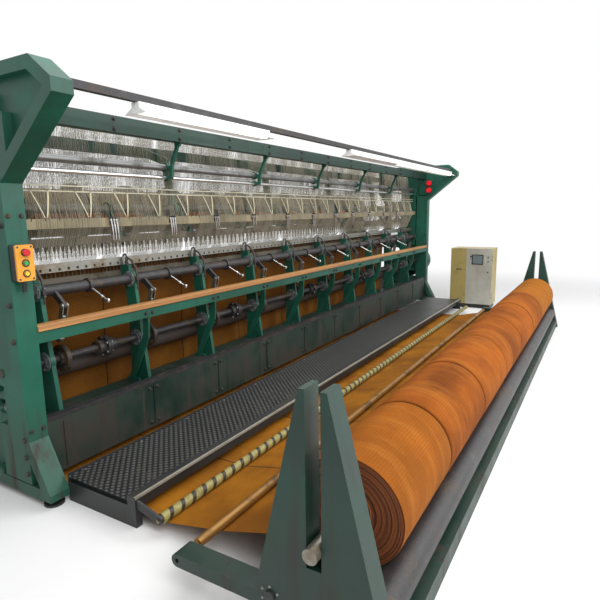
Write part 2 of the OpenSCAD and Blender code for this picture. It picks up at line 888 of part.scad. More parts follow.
// Main shaft with its coupling sleeves
module main_shaft() {
    in_frame() color(dark_steel) {
        rod_x(-half - frame_t - 6, span + 2 * frame_t + guard_reach, shaft_d, -shaft_y, shaft_z);
        for (i = [0 : 2 : len(pedestals) - 2])
            rod_x(pedestals[i] + bay / 2, 130, shaft_d + 44, -shaft_y, shaft_z);
        for (x = [-half + 10, half - 40])
            rod_x(x, 30, shaft_d + 30, -shaft_y, shaft_z);
    }
}

// Cam discs on the main shaft with hubs and lightening holes
module cam_discs() {
    in_frame() color("#4a4a46")
        for (x = pedestals)
            difference() {
                union() {
                    rod_x(x + arm_shift - 12, 24, cam_d, -shaft_y, shaft_z - cam_e);
                    rod_x(x + arm_shift - 30, 60, shaft_d + 36, -shaft_y, shaft_z);
                }
                rod_x(x + arm_shift - 30 - cut, 60 + 2 * cut, shaft_d + 2 * fit, -shaft_y, shaft_z);
                for (a = [45 : 90 : 315])
                    rod_x(x + arm_shift - 12 - cut, 24 + 2 * cut, 22,
                          -shaft_y + 63 * cos(a), shaft_z - cam_e + 63 * sin(a));
            }
}

module swing_shaft() {
    in_frame() color(steel) {
        rod_x(-half + gap, span - 2 * gap, swing_d, swing_y, swing_z);
        rod_x(-half - frame_t, span + 2 * frame_t, swing_end_d, swing_y, swing_z);
    }
}

// Hangers on the swing shaft; the guide bars slide under their feet
guide_z = guide_tip_z + 82;
guide_top = guide_z + guide_h;
guide_y0 = 6;
hanger_foot = 14;
module guide_hangers() {
    in_frame() color(green)
        for (x = pedestals)
            difference() {
                union() {
                    along_x(x - 8, 16) {
                        link([swing_y, swing_z], [guide_y0 + guide_gap / 2, guide_top + 30], 46);
                        translate([swing_y, swing_z]) circle(swing_d / 2 + 18);
                    }
                    block([x - 30, guide_y0 - 20, guide_top + gap],
                          [x + 30, guide_y0 + guide_gap + 20, guide_top + gap + hanger_foot]);
                }
                rod_x(x - 8 - cut, 16 + 2 * cut, swing_d + 2 * fit, swing_y, swing_z);
            }
}

// A guide bar with its row of guides
guide_t = 20;
module guide_bar(y) {
    count = floor((span - 200) / (2 * needle_pitch));
    x0 = -(count - 1) * needle_pitch;
    block([-half + 30, y - guide_t / 2, guide_z], [half - 30, y + guide_t / 2, guide_top]);
    translate([0, y + 1, guide_z])
        rotate([90, 0, 0])
            linear_extrude(2)
                polygon(concat(
                    [[x0 - 20, 6]],
                    [for (i = [0 : count - 1], p = guide_points) [x0 + i * 2 * needle_pitch, 0] + p],
                    [[-x0 + 20, 6]]
                ));
}
guide_len = guide_z - guide_tip_z;
guide_points = [
    [-12, -2], [-12, -24], [-4, -40], [-2, -guide_len], [2, -guide_len],
    [4, -40], [12, -24], [12, -2]
];

module guide_bar_front() {
    in_frame() color(steel) guide_bar(guide_y0);
}

module guide_bar_back() {
    in_frame() color(steel) guide_bar(guide_y0 + guide_gap);
}

// Wheel on a stub shaft in the far end frame, clear of the yarn
wheel_shaft_d = 30;
module let_off_wheel() {
    x1 = half - 40;
    in_frame() color(dark_steel)
        difference() {
            union() {
                rod_x(x1 - 14, 14, 250, wheel_y, wheel_z);
                rod_x(x1 - 34, 60, 80, wheel_y, wheel_z);
                rod_x(x1 - 34, 34 + 40 + frame_t, wheel_shaft_d, wheel_y, wheel_z);
            }
            for (a = [0 : 60 : 300])
                rod_x(x1 - 14 - cut, 14 + 2 * cut, 46,
                      wheel_y + 80 * cos(a), wheel_z + 80 * sin(a));
        }
}

// A flat-belt pulley along X with a rim, a web and a hub, solid where the bore is 0
module pulley(x0, d, w, bore, y, z) {
    difference() {
        union() {
            rod_x(x0, w, d, y, z);
            rod_x(x0 - 3, 3, d + 12, y, z);
            rod_x(x0 + w, 3, d + 12, y, z);
        }
        if (d > 200)
            for (x = [x0 - 3 - cut, x0 + w / 2 + 8])
                difference() {
                    rod_x(x, w / 2 - 4 + cut, d - 30, y, z);
                    rod_x(x - cut, w / 2 - 4 + 3 * cut, bore + 50, y, z);
                }
        if (bore > 0) rod_x(x0 - 4, w + 8, bore, y, z);
    }
}

module drive_pulley() {
    in_frame() color(dark_steel)
        pulley(pulley_x + 8, pulley_d, belt_w, shaft_d + 2 * fit, -shaft_y, shaft_z);
}

module motor_pulley() {
    in_frame() color(dark_steel) {
        pulley(pulley_x + 8, motor_pulley_d, belt_w, 0, motor_y, motor_z);
        rod_x(half - motor_shaft_in, pulley_x + 8 + belt_w - half + motor_shaft_in,
              motor_shaft_d, motor_y, motor_z);
    }
}
motor_shaft_d = 38;
motor_shaft_in = 40;

// Loop round both pulleys, grown by a distance from their rims
belt_t = 6;
function arc(c, r, from, to) =
    let (steps = ceil(abs(to - from) / 3))
    [for (k = [0 : steps])
        let (a = from + (to - from) * k / steps)
            c + r * [cos(a), sin(a)]];
module belt_loop(grow) {
    a = [-shaft_y, shaft_z];
    b = [motor_y, motor_z];
    ra = pulley_d / 2 + gap + grow;
    rb = motor_pulley_d / 2 + gap + grow;
    tilt = atan2(b[1] - a[1], b[0] - a[0]);
    lean = acos((ra - rb) / norm(b - a));
    polygon(concat(arc(b, rb, tilt + lean, tilt - lean), arc(a, ra, tilt - lean, tilt + lean - 360)));
}

module drive_belt() {
    in_frame() color("#1c1c1c")
        along_x(pulley_x + 8 + 2, belt_w - 4)
            difference() {
                belt_loop(belt_t);
                belt_loop(0);
            }
}

// Finned motor flanged to the inner side of the far end frame
module motor() {
    x0 = half - motor_len;
    in_frame() color("#5d6468")
        difference() {
            union() {
                rod_x(x0, motor_len - 18, motor_d - 30, motor_y, motor_z);
                rod_x(half - 18, 18, motor_d + 24, motor_y, motor_z);
                rod_x(x0 - 50, 50, motor_d - 8, motor_y, motor_z);
                for (a = [0 : 20 : 340])
                    translate([x0, motor_y, motor_z])
                        rotate([a, 0, 0])
                            translate([0, -2, motor_d / 2 - 18]) cube([motor_len - 60, 4, 14]);
                block([x0 + 120, motor_y - 45, motor_z + motor_d / 2 - 20],
                      [x0 + 230, motor_y + 45, motor_z + motor_d / 2 + 40]);
            }
            rod_x(half - motor_shaft_in - cut, motor_shaft_in + 2 * cut,
                  motor_shaft_d + 2 * fit, motor_y, motor_z);
        }
}

// Sheet guard over pulleys and belt, open towards the frame
module belt_guard() {
    in_frame() color(green)
        difference() {
            along_x(pulley_x - 20, guard_reach + 20) belt_loop(36);
            along_x(pulley_x - 20 - cut, guard_reach + 20 - guard_wall + cut) belt_loop(36 - guard_wall);
        }
}

module take_roller(y) {
    rod_x(-half + 20, span - 40, 2 * take_r, y, take_z);
    rod_x(-half - frame_t, span + 2 * frame_t, take_end_d, y, take_z);
}

module take_down_roller_front() {
    in_frame() color("#3a2f2a") take_roller(take_front_y);
}

module take_down_roller_rear() {
    in_frame() color("#3a2f2a") take_roller(take_rear_y);
}

module floor_roller() {
    in_frame() color(steel) {
        rod_x(-half + 20, span - 40, 2 * floor_r, floor_y, floor_z);
        rod_x(-half - frame_t, span + 2 * frame_t, floor_end_d, floor_y, floor_z);
    }
}

// Fabric from the needles to the nip between rear drum and cloth roll
function mid(r) = r + gap + fabric_t / 2;
// It is drawn in three lengths, because its run along the floor is flat
flat_z = floor_z - mid(floor_r);
flat_y0 = floor_y - 20;
flat_y1 = -taped_y + 20;
seam = 0.2;
fabric_down = [
    [needle_y + 26, bar_z - 60, 0, -1],
    [take_front_y, take_z, mid(take_r), 1],
    [floor_y, floor_z, mid(floor_r), 1],
    [flat_y0, flat_z, 0, 1]
];
fabric_flat = [
    [flat_y0 - seam, flat_z, 0, 1],
    [flat_y1 + seam, flat_z, 0, 1]
];
fabric_up = [
    [flat_y1, flat_z, 0, 1],
    [-taped_y, taped_z, mid(taped_d / 2), 1],
    [-pipe_y, pipe_z, mid(pipe_d / 2), 1],
    [-wind_y + drum_off, drum_z, mid(drum_r), -1],
    [-wind_y + drum_off - 28, drum_z + mid(drum_r) - 4.6, 0, -1]
];

module fabric_web() {
    in_frame() color(orange)
        for (stops = [fabric_down, fabric_flat, fabric_up])
            along_x(roll_x0, fabric_w) web_outline(stops, fabric_t);
}

// Yarn in lanes from both warp beams over the top tubes and down behind the rods
sheet_t = 2;
function over(r) = r + gap + sheet_t / 2;
function yarn_stops(z, extra) = [
    [beam_y, z, over(wound_d / 2), 1],
    [rear_tube_y, rear_tube_z, over(deflector_d / 2) + extra, -1],
    [front_tube_y, front_tube_z, over(deflector_d / 2) + extra, -1],
    [swing_y - 80, swing_z + 80, extra, -1]
];
module yarn_sheets() {
    in_frame() color("#d9d8cf")
        for (i = [0 : sections - 1])
            along_x(beam_x0 + i * section + 14, section - 48) {
                web_outline(yarn_stops(lower_beam_z, 0), sheet_t);
                web_outline(yarn_stops(upper_beam_z, sheet_t + gap), sheet_t);
            }
}

// Tread plate of the walkway, resting on the rails
module tread_plate() {
    in_frame() color("#6d7072")
        block([walk_x0, -walk_y - walk_d + walk_rail + gap, walk_z - 5],
              [walk_x1, -walk_y - 6 - gap, walk_z]);
}

// Inner angle, outer box rail, cross bearers, end legs and the taped roller's arms
module walkway_rails() {
    low = walk_z - 5;
    outer = -walk_y - walk_d;
    in_frame() color("#4b4f52")
        difference() {
            union() {
                block([walk_x0, -walk_y - 6, low - 34], [walk_x1, -walk_y, walk_z + 12]);
                block([walk_x0, -walk_y - 40, low - 6], [walk_x1, -walk_y, low]);
                block([walk_x0, outer, low - walk_rail + 20], [walk_x1, outer + walk_rail, walk_z + 18]);
                for (x = [walk_x0 + 20 : 845 : walk_x1 - 20])
                    block([x, outer + walk_rail, low - 40], [x + 30, -walk_y - 6, low]);
                for (x = [walk_x0, walk_x1 - walk_leg])
                    block([x, outer, 0], [x + walk_leg, -walk_y, low - 30]);
                for (x = taped_ends)
                    along_x(x, 14) {
                        link([-taped_y, taped_z], [outer + 20, low - 10], 44);
                    }
            }
            for (x = taped_ends)
                rod_x(x - cut, 14 + 2 * cut, 20 + 2 * fit, -taped_y, taped_z);
        }
}
taped_ends = [taped_x0 - 20, taped_x0 + taped_len + 6];

module taped_roller() {
    in_frame() color("#c2a83a") {
        rod_x(taped_x0, taped_len, taped_d, -taped_y, taped_z);
        rod_x(taped_x0 - 26, taped_len + 52, 20, -taped_y, taped_z);
    }
}

module pipe_roller() {
    in_frame() color("#8b6b45") {
        rod_x(wind_x0 + 30, wind_span - 60, pipe_d, -pipe_y, pipe_z);
        rod_x(wind_x0 - stand_t + 20, wind_span + 2 * stand_t - 40, 20, -pipe_y, pipe_z);
    }
}

// Batching unit: tapered stands with slots, sills, drum uprights and pipe arms
module stand_outline() {
    polygon([
        [-wind_y - stand_half, 0], [-wind_y + stand_half, 0],
        [-wind_y + stand_top / 2, stand_h], [-wind_y - stand_top / 2, stand_h]
    ]);
    link([-pipe_y, pipe_z], [-wind_y + 160, pipe_z], 60);
}

module batching_frame() {
    in_frame() color(dark_green)
        difference() {
            union() {
                along_x(wind_x0 - stand_t, stand_t) stand_outline();
                along_x(wind_x1, stand_t) stand_outline();
                for (s = [-1, 1])
                    block([wind_x0, -wind_y + s * (stand_half - 45) - 30, 0],
                          [wind_x1, -wind_y + s * (stand_half - 45) + 30, 96]);
                for (x = [wind_x0, wind_x1 - 24])
                    block([x, -wind_y - stand_half + 75, 0], [x + 24, -wind_y + stand_half - 75, 60]);
            }
            for (x = [wind_x0 - stand_t - cut, wind_x1 - cut]) {
                block([x, -wind_y - core_d / 2 - slot_fit, roll_z - core_d / 2 - 40],
                      [x + stand_t + 2 * cut, -wind_y + core_d / 2 + slot_fit, stand_h + cut]);
                for (s = [-1, 1])
                    rod_x(x, stand_t + 2 * cut, drum_end_d + 2 * fit, -wind_y + s * drum_off, drum_z);
                rod_x(x, stand_t + 2 * cut, 20 + 2 * fit, -pipe_y, pipe_z);
            }
        }
}
drum_end_d = 44;
slot_fit = 0.4;

module drum(y) {
    rod_x(wind_x0 + 20, wind_span - 40, drum_d, y, drum_z);
    rod_x(wind_x0 - stand_t - 10, wind_span + 2 * stand_t + 20, drum_end_d, y, drum_z);
}

module drum_front() {
    in_frame() color("#2f3436") drum(-wind_y - drum_off);
}

module drum_rear() {
    in_frame() color("#2f3436") drum(-wind_y + drum_off);
}

module core_shaft() {
    in_frame() color(steel)
        rod_x(wind_x0 - stand_t - core_out, wind_span + 2 * (stand_t + core_out), core_d, -wind_y, roll_z);
}

// The wound roll: lanes of fabric with grooves between them and stepped layers at its ends
end_steps = [[0.34, 16], [0.5, 12], [0.66, 9], [0.8, 5], [0.92, 2]];
module cloth_roll() {
    bore = core_d / 2 + fit;
    outline = concat(
        [[bore, 18]],
        [for (s = end_steps) each [[roll_r * s[0], s[1]], [roll_r * s[0] + 1.5, s[1] - 2]]],
        [[roll_r - 4, 0], [roll_r, 4]],
        [for (x = lane_cuts) each
            [[roll_r, x - 7], [roll_r - groove, x - 3], [roll_r - groove, x + 3], [roll_r, x + 7]]],
        [[roll_r, fabric_w - 4], [roll_r - 4, fabric_w], [bore, fabric_w]]
    );
    in_frame() color(orange)
        translate([roll_x0, -wind_y, roll_z])
            rotate([0, 90, 0])
                rotate_extrude($fn = 96) polygon(outline);
}

// A warp beam: barrel, flanges and wound yarn as one turned body
beam_x0 = -half + 120;
section = -2 * beam_x0 / sections;
module warp_beam(z) {
    outline = concat(
        [[0, beam_x0]],
        [for (x = [beam_x0 : section : -beam_x0 - section + 1]) each [
            [flange_d / 2, x], [flange_d / 2, x + 8],
            [wound_d / 2, x + 8], [wound_d / 2, x + section - 28],
            [flange_d / 2, x + section - 28], [flange_d / 2, x + section - 20],
            [70, x + section - 20], [70, x + section]
        ]],
        [[0, -beam_x0]]
    );
    translate([0, beam_y, z])
        rotate([0, 90, 0])
            rotate_extrude($fn = 64) polygon(outline);
    rod_x(-half - stand_w - 10, span + 2 * stand_w + 20, beam_end_d, beam_y, z);
}
beam_end_d = 60;
stand_w = 80;

module warp_beam_upper() {
    in_frame() color("#cfcdc2") warp_beam(upper_beam_z);
}

module warp_beam_lower() {
    in_frame() color("#cfcdc2") warp_beam(lower_beam_z);
}

// A-shaped stands behind the end frames, joined by a low tie
module beam_stands() {
    in_frame() color(green) {
        for (x0 = [-half - stand_w, half])
            difference() {
                along_x(x0, stand_w)
                    difference() {
                        union() {
                            polygon([
                                [beam_y - beam_foot, 0], [beam_y + beam_foot, 0],
                                [beam_y + beam_foot, 60], [beam_y + 80, upper_beam_z + 40],
                                [beam_y - 80, upper_beam_z + 40], [beam_y - beam_foot, 60]
                            ]);
                            translate([beam_y, upper_beam_z]) circle(95);
                        }
                        translate([beam_y - 160, 120]) round_rect(320, 380, 40);
                        translate([beam_y - 110, 880]) round_rect(220, 300, 40);
                    }
                for (z = [lower_beam_z, upper_beam_z])
                    rod_x(x0 - cut, stand_w + 2 * cut, beam_end_d + 2 * fit, beam_y, z);
            }
        block([-half, beam_y + beam_foot - 100, 20], [half, beam_y + beam_foot - 20, 100]);
    }
}

// Control cabinet: sheet shell with a fixed left panel, a hinged right door and a plinth
cab_split = 0.62;
door_t = 18;
plinth_h = 70;
module cabinet_body() {
    x0 = cab_x0;
    x1 = cab_x0 + cab_d;
    y1 = cab_y0 + cab_w;
    split = cab_y0 + cab_w * cab_split;
    in_frame() color("#cfc08a") {
        difference() {
            block([x0 + door_t, cab_y0, plinth_h], [x1, y1, cab_h]);
            block([x0 + door_t - cut, cab_y0 + cab_wall, plinth_h + cab_wall],
                  [x1 - cab_wall, y1 - cab_wall, cab_h - cab_wall]);
        }
        block([x0 + door_t, split, plinth_h + cab_wall],
              [x1 - cab_wall, split + cab_wall, cab_h - cab_wall]);
        block([x0, split + gap, plinth_h], [x0 + door_t, y1, cab_h]);
        block([x0 + 40, cab_y0 + 20, 0], [x1 - 20, y1 - 20, plinth_h]);
        for (z = hinge_z) {
            at_hinge(z) cylinder(h = 3 * hinge_h + 2 * gap, r = pin_r);
            for (up = [0, 2 * (hinge_h + gap)])
                at_hinge(z + up)
                    linear_extrude(hinge_h) {
                        circle(hinge_r);
                        polygon([[0, 3], [26, 3], [26, hinge_out], [door_t - hinge_in, hinge_out],
                                 [door_t - hinge_in, hinge_r], [0, hinge_r]]);
                    }
        }
    }
}

// Hinges beside the shell's front corner: two fixed knuckles with a pin, one knuckle on the door
hinge_in = 9;
hinge_out = 8;
hinge_r = 7;
hinge_h = 30;
pin_r = 3;
hinge_z = [plinth_h + 100, cab_h - 200];
module at_hinge(z) {
    translate([cab_x0 + hinge_in, cab_y0 - hinge_out, z]) children();
}

module cabinet_door() {
    split = cab_y0 + cab_w * cab_split;
    in_frame() color("#d8d6cb") {
        difference() {
            block([cab_x0, cab_y0, plinth_h], [cab_x0 + door_t - gap, split - gap, cab_h]);
            block([cab_x0 + 2, cab_y0 + 20, plinth_h + 20],
                  [cab_x0 + door_t + cut, split - 20, cab_h - 20]);
            block([cab_x0 - cut, screen_y, screen_z],
                  [cab_x0 + door_t, screen_y + screen_w, screen_z + screen_h]);
        }
        for (z = hinge_z)
            at_hinge(z + hinge_h + gap)
                linear_extrude(hinge_h)
                    difference() {
                        union() {
                            circle(hinge_r);
                            translate([-hinge_r, 0]) square([hinge_r + 4, hinge_out]);
                        }
                        circle(pin_r + fit);
                    }
    }
}
screen_w = 150;
screen_h = 130;
screen_y = cab_y0 + 150;
screen_z = cab_h - 240;

// Screen with its raised frame, set in the door
module cabinet_screen() {
    in_frame() color("#1b1d20") {
        block([cab_x0 - 8, screen_y - 14, screen_z - 14],
              [cab_x0, screen_y + screen_w + 14, screen_z + screen_h + 14]);
        block([cab_x0, screen_y + gap, screen_z + gap],
              [cab_x0 + 2, screen_y + screen_w - gap, screen_z + screen_h - gap]);
    }
}

// Button station on the near end frame
station_d = 62;
station_x = -half - frame_t / 2 - station_w / 2 - 6;
button_z = [150, 95, 40];
module button_station() {
    in_frame() color("#d08a2a")
        difference() {
            union() {
                translate([station_x, column_y, station_z])
                    rotate([90, 0, 0])
                        linear_extrude(station_d) round_rect(station_w, station_h, 9);
                translate([station_x + station_w / 2, column_y - 28, station_z - 60])
                    cylinder(h = 60, d = 22);
            }
            for (z = button_z)
                translate([station_x + station_w / 2, column_y - station_d - cut, station_z + z])
                    rotate([-90, 0, 0]) cylinder(h = 30, d = button_d + 2 * fit);
        }
}
button_d = 22;

// A place on the station's front for one of its buttons
module at_button(i) {
    translate([station_x + station_w / 2, column_y - station_d, station_z + button_z[i]])
        rotate([90, 0, 0]) children();
}

module stop_button() {
    in_frame() color("#b3161c")
        at_button(0) {
            translate([0, 0, -20]) cylinder(h = 32, d = button_d);
            translate([0, 0, 12]) cylinder(h = 6, d1 = 30, d2 = 40);
            translate([0, 0, 18]) cylinder(h = 8, d1 = 40, d2 = 34);
        }
}

module start_button() {
    in_frame() color("#2f9a4b")
        at_button(1) translate([0, 0, -20]) cylinder(h = 30, d = button_d);
}

module jog_button() {
    in_frame() color("#d9a520")
        at_button(2) translate([0, 0, -20]) cylinder(h = 30, d = button_d);
}

near_end_frame();
far_end_frame();
bed_beam();
levelling_feet();
oil_tray();
upper_beams();
shaft_pedestals();
rail_frame();
hand_rail();
yarn_tubes();
bright_rod();
rod_clamps();
tension_rails();
yarn_guide_plate();
perforated_bar();
hooks();
yarn_packages();
lamp_rail();
lamp_housings();
lamp_tubes();
signal_lamps();
rocker_tube();
needle_bar();
push_rods();
main_shaft();
cam_discs();
swing_shaft();
guide_hangers();
guide_bar_front();
guide_bar_back();
let_off_wheel();
drive_pulley();
motor_pulley();
drive_belt();
motor();
belt_guard();
take_down_roller_front();
take_down_roller_rear();
floor_roller();
fabric_web();
yarn_sheets();
tread_plate();
walkway_rails();
taped_roller();
pipe_roller();
batching_frame();
drum_front();
drum_rear();
core_shaft();
cloth_roll();
warp_beam_upper();
warp_beam_lower();
beam_stands();
cabinet_body();
cabinet_door();
cabinet_screen();
button_station();
stop_button();
start_button();
jog_button();
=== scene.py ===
"""Warp knitting machine for net: finishes, yarn, fabric and small parts over the solid frame.

Lengths are metres. Shapes are worked out in the machine's own coordinates, where x is 0 midway
between the end frames, y is 0 on the needle line and z is 0 on the floor. PLACE then sets them
in the shared frame.
"""
import json
import logging
import math
from dataclasses import dataclass
from enum import Enum
from typing import Iterable, Sequence, Union

import bpy
import numpy as np
from mathutils import Matrix, Vector


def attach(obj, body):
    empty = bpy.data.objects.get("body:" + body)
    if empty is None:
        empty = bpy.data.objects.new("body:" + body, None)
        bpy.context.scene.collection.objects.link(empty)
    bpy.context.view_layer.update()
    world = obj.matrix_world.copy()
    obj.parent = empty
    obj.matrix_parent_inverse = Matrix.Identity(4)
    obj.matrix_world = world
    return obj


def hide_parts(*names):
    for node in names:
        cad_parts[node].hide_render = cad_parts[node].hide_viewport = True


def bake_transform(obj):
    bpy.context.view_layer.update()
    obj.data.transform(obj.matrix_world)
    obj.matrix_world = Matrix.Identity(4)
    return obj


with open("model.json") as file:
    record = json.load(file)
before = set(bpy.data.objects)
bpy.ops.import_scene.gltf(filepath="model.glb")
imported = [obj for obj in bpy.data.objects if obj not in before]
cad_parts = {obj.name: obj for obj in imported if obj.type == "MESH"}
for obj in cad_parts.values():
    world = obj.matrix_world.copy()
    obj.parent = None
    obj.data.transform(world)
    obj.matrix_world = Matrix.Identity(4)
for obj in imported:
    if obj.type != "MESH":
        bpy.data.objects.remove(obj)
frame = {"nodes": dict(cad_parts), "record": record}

LOG = logging.getLogger("knitting_machine")
# From the machine's own coordinates to the shared frame
PLACE = np.array([0.006, 0.49015, 0.0])
# Half the span between the end frames, and the pitch of the pedestals
HALF = 3.55
BAY = 0.705
PEDESTALS = np.array([-3.395 + BAY * k for k in range(10)])
BAYS = np.array([-2.740 + BAY * k for k in range(9)])


# Shapes


@dataclass
class Shape:
    """Points in the machine's coordinates, the polygons between them and their UV places."""

    points: np.ndarray
    faces: list[np.ndarray]
    uv: Union[np.ndarray, None] = None
    tone: Union[np.ndarray, None] = None

    def moved(self, offset: Sequence[float]) -> "Shape":
        """The shape shifted by offset."""
        return Shape(self.points + np.asarray(offset), self.faces, self.uv, self.tone)

    def turned(self, angle: float, axis: str, about: Sequence[float]) -> "Shape":
        """Turn the shape by an angle in radians round a line parallel to an axis.

        Args:
            angle: turn by the right-hand rule.
            axis: "X", "Y" or "Z".
            about: a point on the line.

        Returns:
            The turned shape.
        """
        matrix = np.array(Matrix.Rotation(angle, 3, axis))
        about = np.asarray(about)
        return Shape((self.points - about) @ matrix.T + about, self.faces, self.uv, self.tone)

    def copies(self, offsets: np.ndarray) -> "Shape":
        """Repeat the shape once per offset.

        Args:
            offsets: array (count, 3) of shifts.

        Returns:
            One shape with all the copies.
        """
        offsets = np.asarray(offsets, float).reshape(-1, 3)
        count, size = len(offsets), len(self.points)
        points = (self.points[None] + offsets[:, None]).reshape(-1, 3)
        shift = np.arange(count)[:, None, None] * size
        faces = [(f[None] + shift).reshape(-1, f.shape[1]) for f in self.faces]
        uv = None if self.uv is None else np.tile(self.uv, (count, 1))
        tone = np.repeat(np.linspace(0, 1, count), size) if self.tone is None else np.tile(self.tone, count)
        return Shape(points, faces, uv, tone)

    def outward(self) -> "Shape":
        """Flip all faces where the enclosed volume comes out negative.

        The volume is a sixth of the sum of p0 . (pk x pk+1) over the triangles of each face's fan.

        Returns:
            The shape itself.
        """
        volume = 0.0
        for f in self.faces:
            p = self.points[f]
            for k in range(1, f.shape[1] - 1):
                volume += np.einsum("ij,ij->", p[:, 0], np.cross(p[:, k], p[:, k + 1]))
        if volume < 0:
            self.faces = [f[:, ::-1] for f in self.faces]
        return self


def joined(shapes: Iterable[Shape]) -> Shape:
    """Put several shapes into one.

    Args:
        shapes: the shapes to join.

    Returns:
        One shape.
    """
    shapes = list(shapes)
    starts = np.cumsum([0] + [len(s.points) for s in shapes])
    faces = [f + start for s, start in zip(shapes, starts) for f in s.faces]
    uv = np.vstack([np.zeros((len(s.points), 2)) if s.uv is None else s.uv for s in shapes])
    tone = np.concatenate([np.zeros(len(s.points)) if s.tone is None else s.tone for s in shapes])
    return Shape(np.vstack([s.points for s in shapes]), faces, uv, tone)


def grid(points: np.ndarray, close_u: bool = False, close_v: bool = False,
         uv: Union[np.ndarray, None] = None, tone: Union[np.ndarray, None] = None) -> Shape:
    """Quads between the points of a surface p(u, v), where u counts the rows and v the columns.

    Args:
        points: array (rows, columns, 3).
        close_u: join the last row to the first.
        close_v: join the last column to the first.
        uv: array (rows, columns, 2).
        tone: array (rows, columns) of a value from 0 to 1.

    Returns:
        The surface.
    """
    rows, cols = points.shape[:2]
    index = np.arange(rows * cols).reshape(rows, cols)
    if close_u:
        index = np.vstack([index, index[:1]])
    if close_v:
        index = np.hstack([index, index[:, :1]])
    quads = np.stack([index[:-1, :-1], index[1:, :-1], index[1:, 1:], index[:-1, 1:]], -1).reshape(-1, 4)
    return Shape(points.reshape(-1, 3), [quads], None if uv is None else uv.reshape(-1, 2),
                 None if tone is None else tone.reshape(-1))


def capped(shape: Shape, rows: int, cols: int) -> Shape:
    """Close the first and last ring of a lofted grid with one polygon each.

    Args:
        shape: the grid, closed round its columns.
        rows: number of rings.
        cols: points of a ring.

    Returns:
        The closed shape, its faces outward.
    """
    first = np.arange(cols)[None]
    last = (rows - 1) * cols + np.arange(cols)[None, ::-1]
    shape.faces = shape.faces + [first, last]
    return shape.outward()


def unit(v: np.ndarray) -> np.ndarray:
    """Vectors of length 1 along the last axis."""
    return v / np.maximum(np.linalg.norm(v, axis=-1, keepdims=True), 1e-12)


def tubes(paths: np.ndarray, radius: Union[float, np.ndarray], sides: int = 4,
          across: Sequence[float] = (1.0, 0.0, 0.0)) -> Shape:
    """Round bars along many paths with the same number of points.

    Each ring is centre + r (cos a n1 + sin a n2), with n1 the part of `across` square to the path
    and n2 square to both.

    Args:
        paths: array (count, stops, 3) or (stops, 3).
        radius: one radius, or one per stop.
        sides: corners of the ring.
        across: direction from which the rings are laid out.

    Returns:
        All the bars as one shape, ends closed.
    """
    paths = np.asarray(paths, float)
    if paths.ndim == 2:
        paths = paths[None]
    count, stops = paths.shape[:2]
    along = unit(np.gradient(paths, axis=1))
    n1 = np.broadcast_to(np.asarray(across, float), along.shape)
    n1 = unit(n1 - (n1 * along).sum(-1, keepdims=True) * along)
    n2 = np.cross(along, n1)
    a = np.arange(sides) * 2 * math.pi / sides + math.pi / sides
    r = np.broadcast_to(radius, (stops,))[None, :, None, None]
    rings = paths[:, :, None] + r * (np.cos(a)[None, None, :, None] * n1[:, :, None]
                                     + np.sin(a)[None, None, :, None] * n2[:, :, None])
    one = np.arange(stops * sides).reshape(stops, sides)
    wrap = np.hstack([one, one[:, :1]])
    quads = np.stack([wrap[:-1, :-1], wrap[:-1, 1:], wrap[1:, 1:], wrap[1:, :-1]], -1).reshape(-1, 4)
    shift = (np.arange(count) * stops * sides)[:, None, None]
    faces = [(quads[None] + shift).reshape(-1, 4),
             (one[:1, ::-1][None] + shift).reshape(-1, sides),
             (one[-1:][None] + shift).reshape(-1, sides)]
    length = np.concatenate([[0], np.cumsum(np.linalg.norm(np.diff(paths[0], axis=0), axis=1))])
    uv = np.stack(np.broadcast_arrays(length[:, None], np.arange(sides)[None] / sides), -1)
    tone = np.repeat((np.arange(count) * 0.618034) % 1.0, stops * sides)
    return Shape(rings.reshape(-1, 3), faces, np.tile(uv.reshape(-1, 2), (count, 1)), tone)


def lathe(profile: Sequence[Sequence[float]], centre: Sequence[float], axis: str = "X",
          segments: int = 24, ring: bool = False) -> Shape:
    """Turn a profile of (distance along, radius) about an axis.

    Each stop (d, r) gives the ring of points d along the axis and (r cos a, r sin a) across it.

    Args:
        profile: the stops; for a ring the last one joins the first.
        centre: point where the distance along is 0.
        axis: "X", "Y" or "Z".
        segments: corners round the axis.
        ring: True for a closed profile round a bore.

    Returns:
        The turned shape, with u along the profile and v round the axis.
    """
    profile = np.asarray(profile, float)
    a = np.arange(segments) * 2 * math.pi / segments
    along = np.broadcast_to(profile[:, :1], (len(profile), segments))
    c, s = profile[:, 1:] * np.cos(a), profile[:, 1:] * np.sin(a)
    order = {"X": (along, c, s), "Y": (s, along, c), "Z": (c, s, along)}[axis]
    points = np.stack(order, -1) + np.asarray(centre)
    run = np.concatenate([[0], np.cumsum(np.linalg.norm(np.diff(profile, axis=0), axis=1))])
    uv = np.stack(np.broadcast_arrays(run[:, None], a[None] / (2 * math.pi)), -1)
    shape = grid(points, close_u=ring, close_v=True, uv=uv)
    return shape.outward() if ring else capped(shape, len(profile), segments)


def block(low: Sequence[float], high: Sequence[float], chamfer: float = 0.0) -> Shape:
    """A box with chamfered edges: four octagonal rings along x, capped at both ends.

    Args:
        low: lowest corner.
        high: highest corner.
        chamfer: width cut off the edges.

    Returns:
        The box.
    """
    (x0, y0, z0), (x1, y1, z1) = low, high
    c = max(chamfer, 1e-5)

    def octagon(x: float, inset: float) -> list[list[float]]:
        """Corners of a chamfered rectangle at x, pulled in by inset."""
        a0, a1, b0, b1 = y0 + inset, y1 - inset, z0 + inset, z1 - inset
        return [[x, a0 + c, b0], [x, a1 - c, b0], [x, a1, b0 + c], [x, a1, b1 - c],
                [x, a1 - c, b1], [x, a0 + c, b1], [x, a0, b1 - c], [x, a0, b0 + c]]

    rings = np.array([octagon(x0, c), octagon(x0 + c, 0), octagon(x1 - c, 0), octagon(x1, c)])
    return capped(grid(rings, close_v=True), 4, 8)


